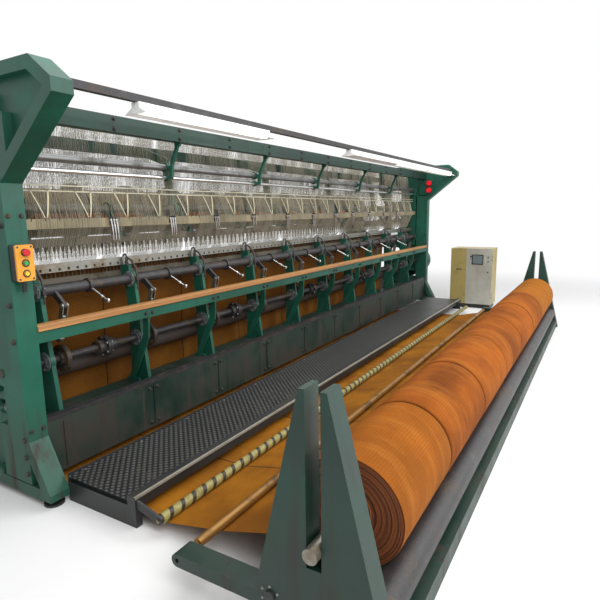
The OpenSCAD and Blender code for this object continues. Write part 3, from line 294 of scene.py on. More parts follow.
def plate(outline: Sequence[Sequence[float]], x0: float, x1: float, chamfer: float = 0.0005) -> Shape:
    """A Y-Z outline carried along x, its ends drawn in by a chamfer towards the middle.

    The rings are (x, outline) inside and (x, outline + chamfer towards its mean) at both ends.

    Args:
        outline: corners (y, z).
        x0: start along x.
        x1: end along x.
        chamfer: width cut off the end edges.

    Returns:
        The plate.
    """
    outline = np.asarray(outline, float)
    middle = outline.mean(0)
    inner = outline + (middle - outline) / np.linalg.norm(outline - middle, axis=1, keepdims=True) * chamfer
    rings = [(x0, inner), (x0 + chamfer, outline), (x1 - chamfer, outline), (x1, inner)]
    points = np.array([np.column_stack([np.full(len(o), x), o]) for x, o in rings])
    return capped(grid(points, close_v=True), 4, len(outline))


def bolt(at: Sequence[float], axis: str, size: float, toward: int = 1) -> Shape:
    """A hexagon head on a washer: two turned profiles, one of six sides and one of twelve.

    Args:
        at: point on the surface under the washer.
        axis: direction of the shank.
        size: width of the head over its corners.
        toward: 1 or -1, the side of the surface along the axis.

    Returns:
        The bolt's head.
    """
    r, t = size / 2, toward
    washer = lathe([[0, 1.25 * r], [0.16 * r * t, 1.25 * r], [0.26 * r * t, 1.12 * r]], at, axis, 12)
    head = lathe([[0.2 * r * t, r], [1.0 * r * t, r], [1.18 * r * t, 0.82 * r]], at, axis, 6)
    return joined([washer, head])


# Shader maths

Number = Union[int, float]


class Wire:
    """A shader value: a socket whose arithmetic adds Math nodes."""

    def __init__(self, board: "Board", socket: bpy.types.NodeSocket) -> None:
        """Keep the socket and the board that it belongs to."""
        self.board = board
        self.socket = socket

    def math(self, operation: str, *values: Union["Wire", Number]) -> "Wire":
        """One Math node on the given values."""
        return self.board.node("ShaderNodeMath", {"operation": operation}, dict(enumerate(values)))

    def __add__(self, other: Union["Wire", Number]) -> "Wire":
        """self + other"""
        return self.math("ADD", self, other)

    __radd__ = __add__

    def __sub__(self, other: Union["Wire", Number]) -> "Wire":
        """self - other"""
        return self.math("SUBTRACT", self, other)

    def __rsub__(self, other: Union["Wire", Number]) -> "Wire":
        """other - self"""
        return self.math("SUBTRACT", other, self)

    def __mul__(self, other: Union["Wire", Number]) -> "Wire":
        """self * other"""
        return self.math("MULTIPLY", self, other)

    __rmul__ = __mul__

    def __truediv__(self, other: Union["Wire", Number]) -> "Wire":
        """self / other"""
        return self.math("DIVIDE", self, other)

    def __pow__(self, other: Union["Wire", Number]) -> "Wire":
        """self to the power other"""
        return self.math("POWER", self, other)

    def __gt__(self, other: Union["Wire", Number]) -> "Wire":
        """1 where self is above other"""
        return self.math("GREATER_THAN", self, other)

    def __lt__(self, other: Union["Wire", Number]) -> "Wire":
        """1 where self is below other"""
        return self.math("LESS_THAN", self, other)

    def __abs__(self) -> "Wire":
        """Size without sign"""
        return self.math("ABSOLUTE", self)

    def sine(self, pitch: float) -> "Wire":
        """Sine of a full turn for each pitch"""
        return self.math("SINE", self * (2 * math.pi / pitch))

    def fraction(self) -> "Wire":
        """The part after the decimal point"""
        return self.math("FRACT", self)

    def ramp(self, low: float, high: float) -> "Wire":
        """0 below low, 1 above high, smooth between.

        Args:
            low: where the value is 0.
            high: where it is 1.

        Returns:
            The smooth step.
        """
        limits = {"Value": self, "From Min": low, "From Max": high, "To Min": 0.0, "To Max": 1.0}
        settings = {"interpolation_type": "SMOOTHSTEP", "clamp": True}
        return self.board.node("ShaderNodeMapRange", settings, limits)


class Board:
    """A node tree that starts empty."""

    def __init__(self, tree: bpy.types.NodeTree) -> None:
        """Empty the tree."""
        self.tree = tree
        self.tree.nodes.clear()

    def node(self, kind: str, settings: Union[dict, None] = None, values: Union[dict, None] = None,
             output: Union[int, str] = 0) -> Wire:
        """Add one node.

        Args:
            kind: the node's type name.
            settings: attributes that are set first.
            values: numbers, colours or wires for its inputs, by name or index.
            output: the output to hand on.

        Returns:
            The chosen output.
        """
        node = self.tree.nodes.new(kind)
        for key, value in (settings or {}).items():
            setattr(node, key, value)
        for key, value in (values or {}).items():
            self.feed(node.inputs[key], value)
        return Wire(self, node.outputs[output])

    def end(self, kind: str, wire: Wire) -> bpy.types.Node:
        """Add an output node fed by a wire.

        Args:
            kind: the node's type name.
            wire: what its first input gets.

        Returns:
            The node.
        """
        node = self.tree.nodes.new(kind)
        self.feed(node.inputs[0], wire)
        return node

    def feed(self, socket: bpy.types.NodeSocket, value: object) -> None:
        """Link a wire to a socket or set the socket's value.

        Args:
            socket: an input.
            value: a wire, number, vector or colour.
        """
        if isinstance(value, Wire):
            self.tree.links.new(value.socket, socket)
        elif isinstance(value, tuple) and len(value) == 3 and socket.type == "RGBA":
            socket.default_value = (*value, 1.0)
        else:
            socket.default_value = value

    def place(self) -> Wire:
        """Object coordinates, which are metres in the shared frame"""
        return self.node("ShaderNodeTexCoord", output="Object")

    def axes(self, vector: Wire) -> tuple[Wire, Wire, Wire]:
        """Split a vector.

        Args:
            vector: the vector.

        Returns:
            Its three parts.
        """
        outputs = self.node("ShaderNodeSeparateXYZ", values={0: vector}).socket.node.outputs
        return tuple(Wire(self, outputs[i]) for i in range(3))

    def stretch(self, vector: Wire, scale: Sequence[float]) -> Wire:
        """A vector times a fixed one, part by part"""
        return self.node("ShaderNodeVectorMath", {"operation": "MULTIPLY"}, {0: vector, 1: tuple(scale)})

    def noise(self, vector: Wire, scale: float, detail: float = 2.0, rough: float = 0.5) -> Wire:
        """Smooth noise from 0 to 1"""
        settings = {"Vector": vector, "Scale": scale, "Detail": detail, "Roughness": rough}
        return self.node("ShaderNodeTexNoise", {}, settings, "Fac")

    def blend(self, factor: Union[Wire, Number], a: object, b: object, kind: str = "MIX") -> Wire:
        """Colour a where factor is 0 and b where it is 1"""
        return self.node("ShaderNodeMix", {"data_type": "RGBA", "blend_type": kind, "clamp_factor": True},
                         {0: factor, 6: a, 7: b}, 2)

    def surface_uv(self) -> Wire:
        """The piece's own UV places"""
        return self.node("ShaderNodeUVMap", {"uv_map": "UVMap"})

    def tone(self) -> Wire:
        """The value from 0 to 1 that a shape carries at its points"""
        return self.node("ShaderNodeAttribute", {"attribute_name": "tone"}, {}, "Fac")

    def light_path(self, kind: str) -> Wire:
        """1 for rays of a kind, such as Is Camera Ray"""
        return self.node("ShaderNodeLightPath", output=kind)


class Surface(Board):
    """The node tree of one material with one surface shader."""

    def __init__(self, name: str) -> None:
        """Start the material.

        Args:
            name: of the new material.
        """
        self.material = bpy.data.materials.new(name)
        self.material.use_nodes = True
        super().__init__(self.material.node_tree)
        self.skin = self.node("ShaderNodeBsdfPrincipled")
        self.shader = self.skin.socket.node
        self.out = self.end("ShaderNodeOutputMaterial", self.skin)

    def bump(self, height: Wire, distance: float, strength: float = 1.0) -> None:
        """Feed a height to the shader's normal.

        Args:
            height: relief from 0 to 1.
            distance: metres that a height of 1 stands for.
            strength: share of the relief that is used.
        """
        values = {"Height": height, "Distance": distance, "Strength": strength}
        normal = self.node("ShaderNodeBump", {}, values, "Normal")
        self.feed(self.shader.inputs["Normal"], normal)

    def set(self, **values: object) -> bpy.types.Material:
        """Set the shader's inputs by name, with _ for a space.

        Args:
            values: numbers, colours or wires.

        Returns:
            The finished material.
        """
        for key, value in values.items():
            self.feed(self.shader.inputs[key.replace("_", " ")], value)
        return self.material


Colour = tuple[float, float, float]


def tint(text: str) -> Colour:
    """A colour written as six hexadecimal digits, in linear light.

    Args:
        text: such as "1d6b4f".

    Returns:
        Red, green and blue.
    """
    parts = [int(text[i:i + 2], 16) / 255 for i in (0, 2, 4)]
    return tuple(p / 12.92 if p <= 0.04045 else ((p + 0.055) / 1.055) ** 2.4 for p in parts)


# Finishes


@dataclass(frozen=True)
class Paint:
    """Machine enamel: mottled tone, vertical streaks, oily dust near the floor and small chips."""

    base: Colour
    deep: Colour
    grime: Colour = (0.022, 0.018, 0.012)
    chip: Colour = (0.30, 0.31, 0.31)
    dust: float = 0.5
    worn: float = 1.0
    rough: float = 0.38

    def material(self, name: str) -> bpy.types.Material:
        """Build the material.

        Args:
            name: of the new material.

        Returns:
            The material.
        """
        b = Surface(name)
        p = b.place()
        z = b.axes(p)[2]
        mottle = b.noise(p, 2.3, 4.0, 0.6)
        streak = b.noise(b.stretch(p, (9.0, 9.0, 0.9)), 1.0, 4.0, 0.62)
        low = (1.0 - z.ramp(0.05, 0.75)) * self.dust
        dirt = (streak.ramp(0.50, 0.78) * (0.35 + low) + low * mottle.ramp(0.35, 0.7) * 0.8) * self.worn
        edge = b.noise(p, 31.0, 5.0, 0.75)
        chips = edge.ramp(0.715, 0.735) * mottle.ramp(0.47, 0.6) * self.worn
        colour = b.blend(mottle.ramp(0.3, 0.7), self.deep, self.base)
        colour = b.blend(dirt, colour, self.grime)
        colour = b.blend(chips, colour, self.chip)
        b.bump(b.noise(p, 240.0, 2.0) * 0.4 - chips * 0.8, 0.0006, 0.5)
        return b.set(Base_Color=colour, Roughness=self.rough + 0.22 * mottle + 0.25 * dirt,
                     Metallic=chips * 0.6, Coat_Weight=0.08)


@dataclass(frozen=True)
class BareMetal:
    """Drawn or ground metal, brushed along x, with oily stains."""

    base: Colour
    stain: Colour = (0.16, 0.11, 0.05)
    stained: float = 0.5
    rough: float = 0.28
    metallic: float = 0.9
    brush: float = 1.0

    def material(self, name: str) -> bpy.types.Material:
        """Build the material.

        Args:
            name: of the new material.

        Returns:
            The material.
        """
        b = Surface(name)
        p = b.place()
        lines = b.noise(b.stretch(p, (3.0, 160.0, 160.0)), 1.0, 2.0)
        stain = b.noise(p, 5.5, 5.0, 0.65).ramp(0.48, 0.72) * self.stained
        colour = b.blend(stain, b.blend(lines, tuple(0.82 * c for c in self.base), self.base), self.stain)
        b.bump(lines, 0.0003, 0.35 * self.brush)
        return b.set(Base_Color=colour, Metallic=self.metallic - 0.35 * stain,
                     Roughness=self.rough + 0.16 * lines + 0.3 * stain)


@dataclass(frozen=True)
class OilySteel:
    """Blackened running steel with an oil film and brown lint."""

    base: Colour = (0.030, 0.030, 0.033)
    lint: Colour = (0.15, 0.085, 0.035)
    linty: float = 0.5

    def material(self, name: str) -> bpy.types.Material:
        """Build the material.

        Args:
            name: of the new material.

        Returns:
            The material.
        """
        b = Surface(name)
        p = b.place()
        cloud = b.noise(p, 7.0, 5.0, 0.68)
        fine = b.noise(p, 90.0, 3.0, 0.6)
        lint = (cloud * 0.6 + fine * 0.4).ramp(0.5, 0.66) * self.linty
        wiped = cloud.ramp(0.3, 0.45)
        colour = b.blend(lint, b.blend(wiped, (0.055, 0.052, 0.05), self.base), self.lint)
        b.bump(fine + lint, 0.0008, 0.5)
        return b.set(Base_Color=colour, Metallic=0.3 - 0.3 * lint, Roughness=0.36 + 0.2 * cloud + 0.3 * lint)


@dataclass(frozen=True)
class Wood:
    """Varnished boards laid end to end along x."""

    pale: Colour = (0.52, 0.27, 0.095)
    tan: Colour = (0.34, 0.155, 0.05)
    dark: Colour = (0.16, 0.062, 0.02)
    board: float = 2.37

    def material(self, name: str) -> bpy.types.Material:
        """Build the material.

        Args:
            name: of the new material.

        Returns:
            The material.
        """
        b = Surface(name)
        p = b.place()
        x = b.axes(p)[0]
        warp = b.noise(b.stretch(p, (0.8, 6.0, 6.0)), 1.0, 3.0, 0.55)
        grain = b.node("ShaderNodeTexWave", {"wave_type": "BANDS", "bands_direction": "Y"},
                       {"Vector": b.stretch(p, (0.18, 11.0, 11.0)), "Scale": 1.6, "Distortion": 7.0,
                        "Detail": 3.0, "Detail Scale": 1.4}, "Fac")
        pores = b.noise(b.stretch(p, (9.0, 420.0, 420.0)), 1.0, 3.0, 0.7)
        stain = b.noise(b.stretch(p, (2.2, 9.0, 9.0)), 1.0, 5.0, 0.7)
        joint = abs((x / self.board + 0.37).fraction() - 0.5) < 0.0007
        colour = b.blend(grain * 0.7 + 0.3 * warp, self.tan, self.pale)
        colour = b.blend(pores.ramp(0.52, 0.75) * 0.6, colour, self.dark)
        colour = b.blend(stain.ramp(0.55, 0.78) * 0.75, colour, self.dark)
        colour = b.blend(joint, colour, self.dark)
        b.bump(pores * -0.6 - joint + grain * 0.3, 0.0008, 0.6)
        return b.set(Base_Color=colour, Roughness=0.36 + 0.24 * stain + 0.1 * pores, Coat_Weight=0.12)


@dataclass(frozen=True)
class NetKnit:
    """Knitted net on the surface's own UV metres: wales along v, courses along u; painted shade darkens the
    roll's grooves and a patch on its middle.
    """

    base: Colour
    deep: Colour
    bright: Colour
    yellow: Colour
    wale: float = 0.0105
    course: float = 0.0140
    relief: float = 0.0016
    first_cut: float = 0.67
    last_cut: float = 4.57
    # Middle x, half width in x, middle y and half depth in y of the painted shade patch on the roll.
    patch: tuple[float, float, float, float] = (-2.34, 0.36, -1.72, 0.12)

    def material(self, name: str) -> bpy.types.Material:
        """Build the material.

        Args:
            name: of the new material.

        Returns:
            The material.
        """
        b = Surface(name)
        u, v, _ = b.axes(b.surface_uv())
        p = b.place()
        row = u.sine(self.wale)
        turn = v * (2 * math.pi / self.course)
        stitch = turn.math("SINE", turn + row * 0.9)
        mesh = (row * 0.5 + stitch * 0.5) * 0.5 + 0.5
        cloud = b.noise(p, 1.7, 4.0, 0.6)
        speck = b.noise(p, 260.0, 3.0, 0.7)
        soft = b.noise(b.stretch(p, (14.0, 2.5, 2.5)), 1.0, 4.0, 0.6)
        # Depth of the roll's grooves, which sets the painted shade in them.
        groove = b.tone()
        past_last = u.ramp(self.last_cut - 0.003, self.last_cut + 0.003)
        past_first = u.ramp(self.first_cut - 0.003, self.first_cut + 0.003)
        outer = past_last * 0.6 + (1.0 - past_first) * 0.25
        x, y, _ = b.axes(p)
        # Painted shade: a dark patch round the spot given by patch, on the roll's middle.
        dx, dy = (x - self.patch[0]) / self.patch[1], (y - self.patch[2]) / self.patch[3]
        shade_patch = 1.0 - ((dx * dx + dy * dy) ** 0.5 + b.noise(p, 6.0, 5.0, 0.7) * 1.1).ramp(0.9, 1.7)
        tuft = b.noise(b.stretch(p, (30.0, 12.0, 12.0)), 1.0, 5.0, 0.75)
        colour = b.blend(cloud.ramp(0.34, 0.66), self.deep, self.base)
        colour = b.blend(outer, colour, self.yellow)
        colour = b.blend(tuft.ramp(0.52, 0.72) * 0.5, colour, self.deep)
        # Painted shade patch, down to a fifth of the deep tone at its middle.
        colour = b.blend(shade_patch * 0.62, colour, tuple(0.2 * c for c in self.deep))
        colour = b.blend(soft.ramp(0.45, 0.75) * 0.45, colour, self.bright)
        colour = b.blend((1.0 - mesh) * 0.6, colour, self.deep)
        colour = b.blend(speck.ramp(0.58, 0.8) * 0.55, colour, self.bright)
        colour = b.blend(speck.ramp(0.46, 0.28) * 0.45, colour, tuple(0.3 * c for c in self.deep))
        # Painted shade in the roll's grooves, nearly black where they are deepest.
        colour = b.blend(groove * 0.92, colour, tuple(0.12 * c for c in self.deep))
        b.bump(mesh * 0.7 + speck * 0.9 + tuft * 1.5, self.relief, 0.9)
        return b.set(Base_Color=colour, Roughness=0.78 + 0.15 * speck, Specular_IOR_Level=0.12)


@dataclass(frozen=True)
class LaneWeb:
    """The single layer of net between the rollers: golden, with a dark line between two lanes and painted
    shade, browner where it climbs into the machine.
    """

    base: Colour
    deep: Colour
    line: Colour
    first: float
    pitch: float
    thread: float = 0.006
    course: float = 0.008
    open_wale: float = 0.024
    open_course: float = 0.030

    def material(self, name: str) -> bpy.types.Material:
        """Build the material.

        Args:
            name: of the new material.

        Returns:
            The material.
        """
        b = Surface(name)
        u, v, _ = b.axes(b.surface_uv())
        p = b.place()
        cloud = b.noise(p, 2.6, 4.0, 0.6)
        cross = b.noise(b.stretch(p, (26.0, 3.0, 3.0)), 1.0, 4.0, 0.6)
        threads = u.sine(self.thread)
        rows = v.sine(self.course)
        speck = b.noise(p, 300.0, 2.0, 0.7)
        lane = abs(((u - self.first + 0.5 * self.pitch) / self.pitch).fraction() - 0.5)
        seam = 1.0 - lane.ramp(0.004, 0.0075)
        colour = b.blend(cloud.ramp(0.3, 0.7), self.deep, self.base)
        colour = b.blend((threads * rows * 0.5 + 0.5) * 0.3, colour, self.deep)
        colour = b.blend(cross.ramp(0.5, 0.8) * 0.35, colour, self.deep)
        colour = b.blend(speck.ramp(0.5, 0.75) * 0.3, colour, self.line)
        z = b.axes(p)[2]
        # Painted shade: browner and darker above 0.12 m, where the web runs inside the machine, and more
        # above 0.9 m.
        inside = z.ramp(0.12, 0.5) * 0.5 + z.ramp(0.9, 1.25) * 0.25
        mesh = abs(u.sine(self.open_wale) * v.sine(self.open_course))
        # Colour of the painted shade inside the machine.
        brown = tuple(0.30 * d + 0.7 * n for d, n in zip(self.deep, self.line))
        colour = b.blend(inside * (0.75 + 0.6 * cloud), colour, brown)
        colour = b.blend(mesh.ramp(0.35, 0.75) * z.ramp(0.12, 0.3) * 0.55, colour, self.line)
        colour = b.blend(seam, colour, self.line)
        b.bump(threads * 0.4 + rows * 0.4 + speck, 0.0009, 0.7)
        return b.set(Base_Color=colour, Roughness=0.72 + 0.2 * speck, Specular_IOR_Level=0.2)


@dataclass(frozen=True)
class Strands:
    """Yarn whose tone changes from strand to strand."""

    light: Colour
    dark: Colour
    bands: float = 0.0
    twist: float = 0.0

    def material(self, name: str) -> bpy.types.Material:
        """Build the material; bands is the pitch of wound lines along x and twist their slant.

        Args:
            name: of the new material.

        Returns:
            The material.
        """
        b = Surface(name)
        p = b.place()
        tone = b.tone()
        cloud = b.noise(p, 9.0, 3.0, 0.6)
        value = tone * 0.55 + cloud * 0.45
        if self.bands:
            u, v, _ = b.axes(b.surface_uv())
            lines = b.noise(b.node("ShaderNodeCombineXYZ", {}, {0: u + v * self.twist, 1: v * 0.6}),
                            1.0 / self.bands, 3.0, 0.6)
            value = value * 0.4 + lines * 0.6
            b.bump(lines, 0.0012, 0.7)
        return b.set(Base_Color=b.blend(value.ramp(0.25, 0.75), self.dark, self.light), Roughness=0.62,
                     Sheen_Weight=0.1)


@dataclass(frozen=True)
class Wrapped:
    """A roller bound with tape: a spiral of pale bands with dark edges."""

    pale: Colour = (0.30, 0.26, 0.085)
    deep: Colour = (0.12, 0.09, 0.03)
    edge: Colour = (0.026, 0.020, 0.010)
    lead: float = 0.085
    axis_y: float = -0.63985
    axis_z: float = 0.0873

    def material(self, name: str) -> bpy.types.Material:
        """Build the material.

        Args:
            name: of the new material.

        Returns:
            The material.
        """
        b = Surface(name)
        p = b.place()
        x, y, z = b.axes(p)
        angle = z.math("ARCTAN2", z - self.axis_z, y - self.axis_y) / (2 * math.pi)
        wander = b.noise(p, 1.1, 2.0)
        turn = (x / self.lead + angle + wander * 0.9).fraction()
        band = turn.ramp(0.27, 0.34) * (1.0 - turn.ramp(0.93, 0.99))
        dirt = b.noise(p, 22.0, 5.0, 0.7).ramp(0.45, 0.7)
        colour = b.blend(dirt * 0.75, self.pale, self.deep)
        colour = b.blend(band, self.edge, colour)
        b.bump(band + dirt * 0.3, 0.0015, 0.7)
        return b.set(Base_Color=colour, Roughness=0.45 + 0.2 * dirt)


@dataclass(frozen=True)
class Plain:
    """Moulded plastic, glass or rubber with faint dust."""

    base: Colour
    rough: float = 0.35
    dusty: float = 0.15
    coat: float = 0.0
    glow: float = 0.0
    metallic: float = 0.0

    def material(self, name: str) -> bpy.types.Material:
        """Build the material.

        Args:
            name: of the new material.

        Returns:
            The material.
        """
        b = Surface(name)
        p = b.place()
        dust = b.noise(p, 14.0, 4.0, 0.65)
        faded = tuple(0.55 * c + 0.02 for c in self.base)
        colour = b.blend(dust.ramp(0.45, 0.8) * self.dusty, self.base, faded)
        if self.glow:
            b.set(Emission_Color=self.base, Emission_Strength=self.glow)
        return b.set(Base_Color=colour, Roughness=self.rough + 0.15 * dust, Coat_Weight=self.coat,
                     Metallic=self.metallic)


@dataclass(frozen=True)
class LitTubes:
    """Lamp tubes, of which the second one along the machine is out."""

    glass: Colour = (0.86, 0.87, 0.84)
    light: Colour = (1.0, 1.0, 0.96)
    dark_from: float = -0.6
    dark_to: float = 0.94

    def material(self, name: str) -> bpy.types.Material:
        """Build the material.

        Args:
            name: of the new material.

        Returns:
            The material.
        """
        b = Surface(name)
        x = b.axes(b.place())[0]
        lit = 1.0 - (x > self.dark_from) * (x < self.dark_to)
        return b.set(Base_Color=self.glass, Roughness=0.2, Emission_Strength=1.6,
                     Emission_Color=b.blend(lit, (0.0, 0.0, 0.0), self.light))


@dataclass(frozen=True)
class Tread:
    """Dark chequer plate: worn lugs where the sines of x + y and x - y multiply to a high value."""

    ground: Colour = (0.018, 0.019, 0.019)
    lug: Colour = (0.15, 0.155, 0.15)
    dirt: Colour = (0.055, 0.045, 0.03)
    pitch: float = 0.044

    def material(self, name: str) -> bpy.types.Material:
        """Build the material.

        Args:
            name: of the new material.

        Returns:
            The material.
        """
        b = Surface(name)
        p = b.place()
        x, y, _ = b.axes(p)
        lugs = abs((x + y).sine(2 * self.pitch) * (x - y).sine(2 * self.pitch)).ramp(0.45, 0.7)
        wear = b.noise(p, 3.1, 5.0, 0.65)
        dirt = b.noise(p, 11.0, 4.0, 0.7).ramp(0.5, 0.75)
        colour = b.blend(lugs * (0.45 + 0.55 * wear), self.ground, self.lug)
        colour = b.blend(dirt * 0.5, colour, self.dirt)
        b.bump(lugs, 0.0016, 0.9)
        return b.set(Base_Color=colour, Roughness=0.34 + 0.25 * wear, Metallic=0.45 - 0.3 * dirt)


@dataclass(frozen=True)
class TwoTone:
    """Two enamels that meet at a plane of the shared frame."""

    first: Colour
    second: Colour
    axis: int
    level: float
    rough: float = 0.35
    dusty: float = 0.3

    def material(self, name: str) -> bpy.types.Material:
        """Build the material; the second colour lies above the level.

        Args:
            name: of the new material.

        Returns:
            The material.
        """
        b = Surface(name)
        p = b.place()
        above = b.axes(p)[self.axis] > self.level
        dust = b.noise(p, 6.0, 5.0, 0.68).ramp(0.45, 0.75)
        colour = b.blend(above, self.first, self.second)
        colour = b.blend(dust * self.dusty, colour, (0.05, 0.04, 0.025))
        return b.set(Base_Color=colour, Roughness=self.rough + 0.2 * dust)


class Finish(Enum):
    """The finishes, each named by the record's material slot that it belongs to."""

    GREEN = "green_paint"
    DARK_GREEN = "dark_green_paint"
    STEEL = "bright_steel"
    CHROME = "chromed_rod"
    BLACK = "dark_steel"
    WOOD = "varnished_wood"
    YARN = "yarn"
    ORANGE_YARN = "orange_yarn"
    NET = "net_fabric"
    LAMP = "lamp_white"
    TUBE = "lamp_glass"
    SIGNAL = "signal_red"
    COVER = "roller_cover"
    BELT = "belt_rubber"
    CAST = "motor_grey"
    TREAD = "tread_steel"
    TAPED = "taped_roller"
    PIPE = "worn_pipe"
    BEIGE = "cabinet_beige"
    GREY = "cabinet_grey"
    SCREEN = "screen_black"
    STATION = "station_yellow"
    STOP = "stop_red"
    START = "start_green"
    JOG = "jog_amber"
    BEAM_YARN = "beam_yarn"


RECIPES = {
    Finish.GREEN: Paint(tint("105c49"), tint("0a4133"), dust=0.9),
    Finish.DARK_GREEN: Paint(tint("08372b"), tint("05241c"), dust=0.9),
    Finish.STEEL: BareMetal(tint("97978f"), stained=0.8),
    Finish.CHROME: BareMetal(tint("e4e6e6"), stained=0.25, rough=0.12, brush=0.4),
    Finish.BLACK: OilySteel(),
    Finish.WOOD: Wood(),
    Finish.YARN: Strands(tint("a39d88"), tint("5c5646")),
    Finish.ORANGE_YARN: Strands(tint("d2701c"), tint("8c3f0c"), bands=0.004, twist=0.05),
    Finish.NET: NetKnit(tint("aa5c16"), tint("763c0c"), tint("c07c32"), tint("aa7020")),
    Finish.LAMP: Plain(tint("f1f1ee"), 0.3, 0.3),
    Finish.TUBE: LitTubes(),
    Finish.SIGNAL: Plain(tint("d4202a"), 0.12, 0.1, coat=0.6, glow=0.35),
    Finish.COVER: Plain(tint("352b26"), 0.6, 0.4),
    Finish.BELT: Plain(tint("1b1b1b"), 0.62, 0.3),
    Finish.CAST: Paint(tint("6b7275"), tint("4c5356"), dust=0.4, worn=0.7),
    Finish.TREAD: Tread(),
    Finish.TAPED: Wrapped(),
    Finish.PIPE: BareMetal(tint("9a7038"), tint("3a2810"), 0.9, 0.34, 0.55),
    Finish.BEIGE: TwoTone(tint("1b1d1d"), tint("a4935a"), 2, 0.0705),
    Finish.GREY: Paint(tint("b5b3a9"), tint("9d9a8e"), dust=0.1, worn=0.3),
    Finish.SCREEN: Plain(tint("14171b"), 0.1, 0.2, coat=0.8),
    Finish.STATION: TwoTone(tint("e09a30"), tint("17181a"), 1, 0.1515, dusty=0.2),
    Finish.STOP: Plain(tint("c4141c"), 0.16, 0.1, coat=0.6),
    Finish.START: Plain(tint("27a04c"), 0.18, 0.1, coat=0.5),
    Finish.JOG: Plain(tint("ecc63a"), 0.18, 0.1, coat=0.5),
    Finish.BEAM_YARN: Strands(tint("a8966c"), tint("756445"), bands=0.0022),
}


class Palette:
    """The materials made so far, by name."""

    def __init__(self) -> None:
        """Start with no material."""
        self.made: dict[str, bpy.types.Material] = {}

    def of(self, finish: Finish) -> bpy.types.Material:
        """The material of a slot's finish"""
        return self.special(finish.value, RECIPES[finish])

    def special(self, name: str, recipe: object) -> bpy.types.Material:
        """The material of a finish that only one piece has.

        Args:
            name: of the material.
            recipe: its finish.

        Returns:
            The material, made once for each name.
        """
        if name not in self.made:
            self.made[name] = recipe.material(name)
        return self.made[name]


PALETTE = Palette()


def piece(name: str, parts: Sequence[tuple[Shape, bpy.types.Material]], body: str,
          replaces: Sequence[str] = (), crease: float = 32.0) -> bpy.types.Object:
    """Make one object of the scene.

    Args:
        name: the object's name.
        parts: shapes with their materials.
        body: the moving group that it rides on; empty for a piece that rides on none.
        replaces: solids that it stands for.
        crease: degrees above which an edge stays sharp.

    Returns:
        The object, at the origin.
    """
    whole = joined([s for s, _ in parts])
    materials = list(dict.fromkeys(m for _, m in parts))
    counts = [sum(len(f) for f in s.faces) for s, _ in parts]
    order = np.concatenate([np.full(n, materials.index(m)) for n, (_, m) in zip(counts, parts)])
    corners = np.concatenate([f.reshape(-1) for f in whole.faces])
    totals = np.concatenate([np.full(len(f), f.shape[1]) for f in whole.faces])
    mesh = bpy.data.meshes.new(name)
    mesh.vertices.add(len(whole.points))
    mesh.vertices.foreach_set("co", (whole.points + PLACE).astype(np.float32).ravel())
    mesh.loops.add(len(corners))
    mesh.loops.foreach_set("vertex_index", corners.astype(np.int32))
    mesh.polygons.add(len(totals))
    mesh.polygons.foreach_set("loop_start", np.concatenate([[0], np.cumsum(totals)[:-1]]).astype(np.int32))
    mesh.polygons.foreach_set("material_index", order.astype(np.int32))
    mesh.polygons.foreach_set("use_smooth", np.ones(len(totals), bool))
    for material in materials:
        mesh.materials.append(material)
    layer = mesh.uv_layers.new(name="UVMap")
    layer.data.foreach_set("uv", whole.uv[corners].astype(np.float32).ravel())
    tone = mesh.attributes.new("tone", "FLOAT", "POINT")
    tone.data.foreach_set("value", whole.tone.astype(np.float32))
    mesh.update(calc_edges=True)
    mesh.validate()
    mesh.set_sharp_from_angle(angle=math.radians(crease))
    obj = bpy.data.objects.new(name, mesh)
    bpy.context.scene.collection.objects.link(obj)
    if body:
        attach(obj, body)
    if replaces:
        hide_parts(*replaces)
    return obj


# Paths over rollers


@dataclass(frozen=True)
class Guide:
    """A roller that a web or yarn passes: centre, distance of the web from it, and the side."""

    y: float
    z: float
    reach: float
    side: int


def guided(guides: Sequence[Guide], step: float) -> np.ndarray:
    """The path of a web over guides: straight tangents joined by arcs round each guide.

    The run between two guides makes the angle of their centres plus asin((r2 s2 - r1 s1) / d);
    round each guide the path is centre + r s n(a) for normals n from one run to the next.

    Args:
        guides: rollers in order.
        step: distance between the points of the path.

    Returns:
        Array (n, 2) of y and z at even steps.
    """
    angles = []
    for a, b in zip(guides[:-1], guides[1:]):
        d = math.hypot(b.y - a.y, b.z - a.z)
        angles.append(math.atan2(b.z - a.z, b.y - a.y) + math.asin((b.reach * b.side - a.reach * a.side) / d))
    points = []
    for i, g in enumerate(guides):
        first = angles[max(i - 1, 0)]
        last = angles[min(i, len(angles) - 1)]
        last -= 2 * math.pi * round((last - first) / (2 * math.pi))
        t = np.linspace(first, last, 2 + int(abs(last - first) / 0.08))
        points.append(np.column_stack([g.y - np.sin(t) * g.reach * g.side,
                                       g.z + np.cos(t) * g.reach * g.side]))
    path = np.vstack(points)
    run = np.concatenate([[0], np.cumsum(np.linalg.norm(np.diff(path, axis=0), axis=1))])
    keep = np.concatenate([[True], np.diff(run) > 1e-7])
    even = np.linspace(0, run[-1], max(2, int(run[-1] / step)))
    return np.column_stack([np.interp(even, run[keep], path[keep, k]) for k in (0, 1)])


def waves(x: np.ndarray, count: int, seed: int, low: float, high: float) -> np.ndarray:
    """A sum of sines of random pitch and phase, scaled to about -1..1.

    Each adds sin(2 pi x / pitch + phase) times a weight between a half and one.

    Args:
        x: where it is taken.
        count: number of sines.
        seed: of the random draws.
        low: least pitch.
        high: greatest pitch.

    Returns:
        The sum at each x.
    """
    rng = np.random.default_rng(seed)
    total = np.zeros_like(x)
    for _ in range(count):
        pitch = rng.uniform(low, high)
        phase = rng.uniform(0, 6.28)
        total = total + np.sin(2 * math.pi * x / pitch + phase) * rng.uniform(0.5, 1)
    return total / (0.75 * count)


# Fabric


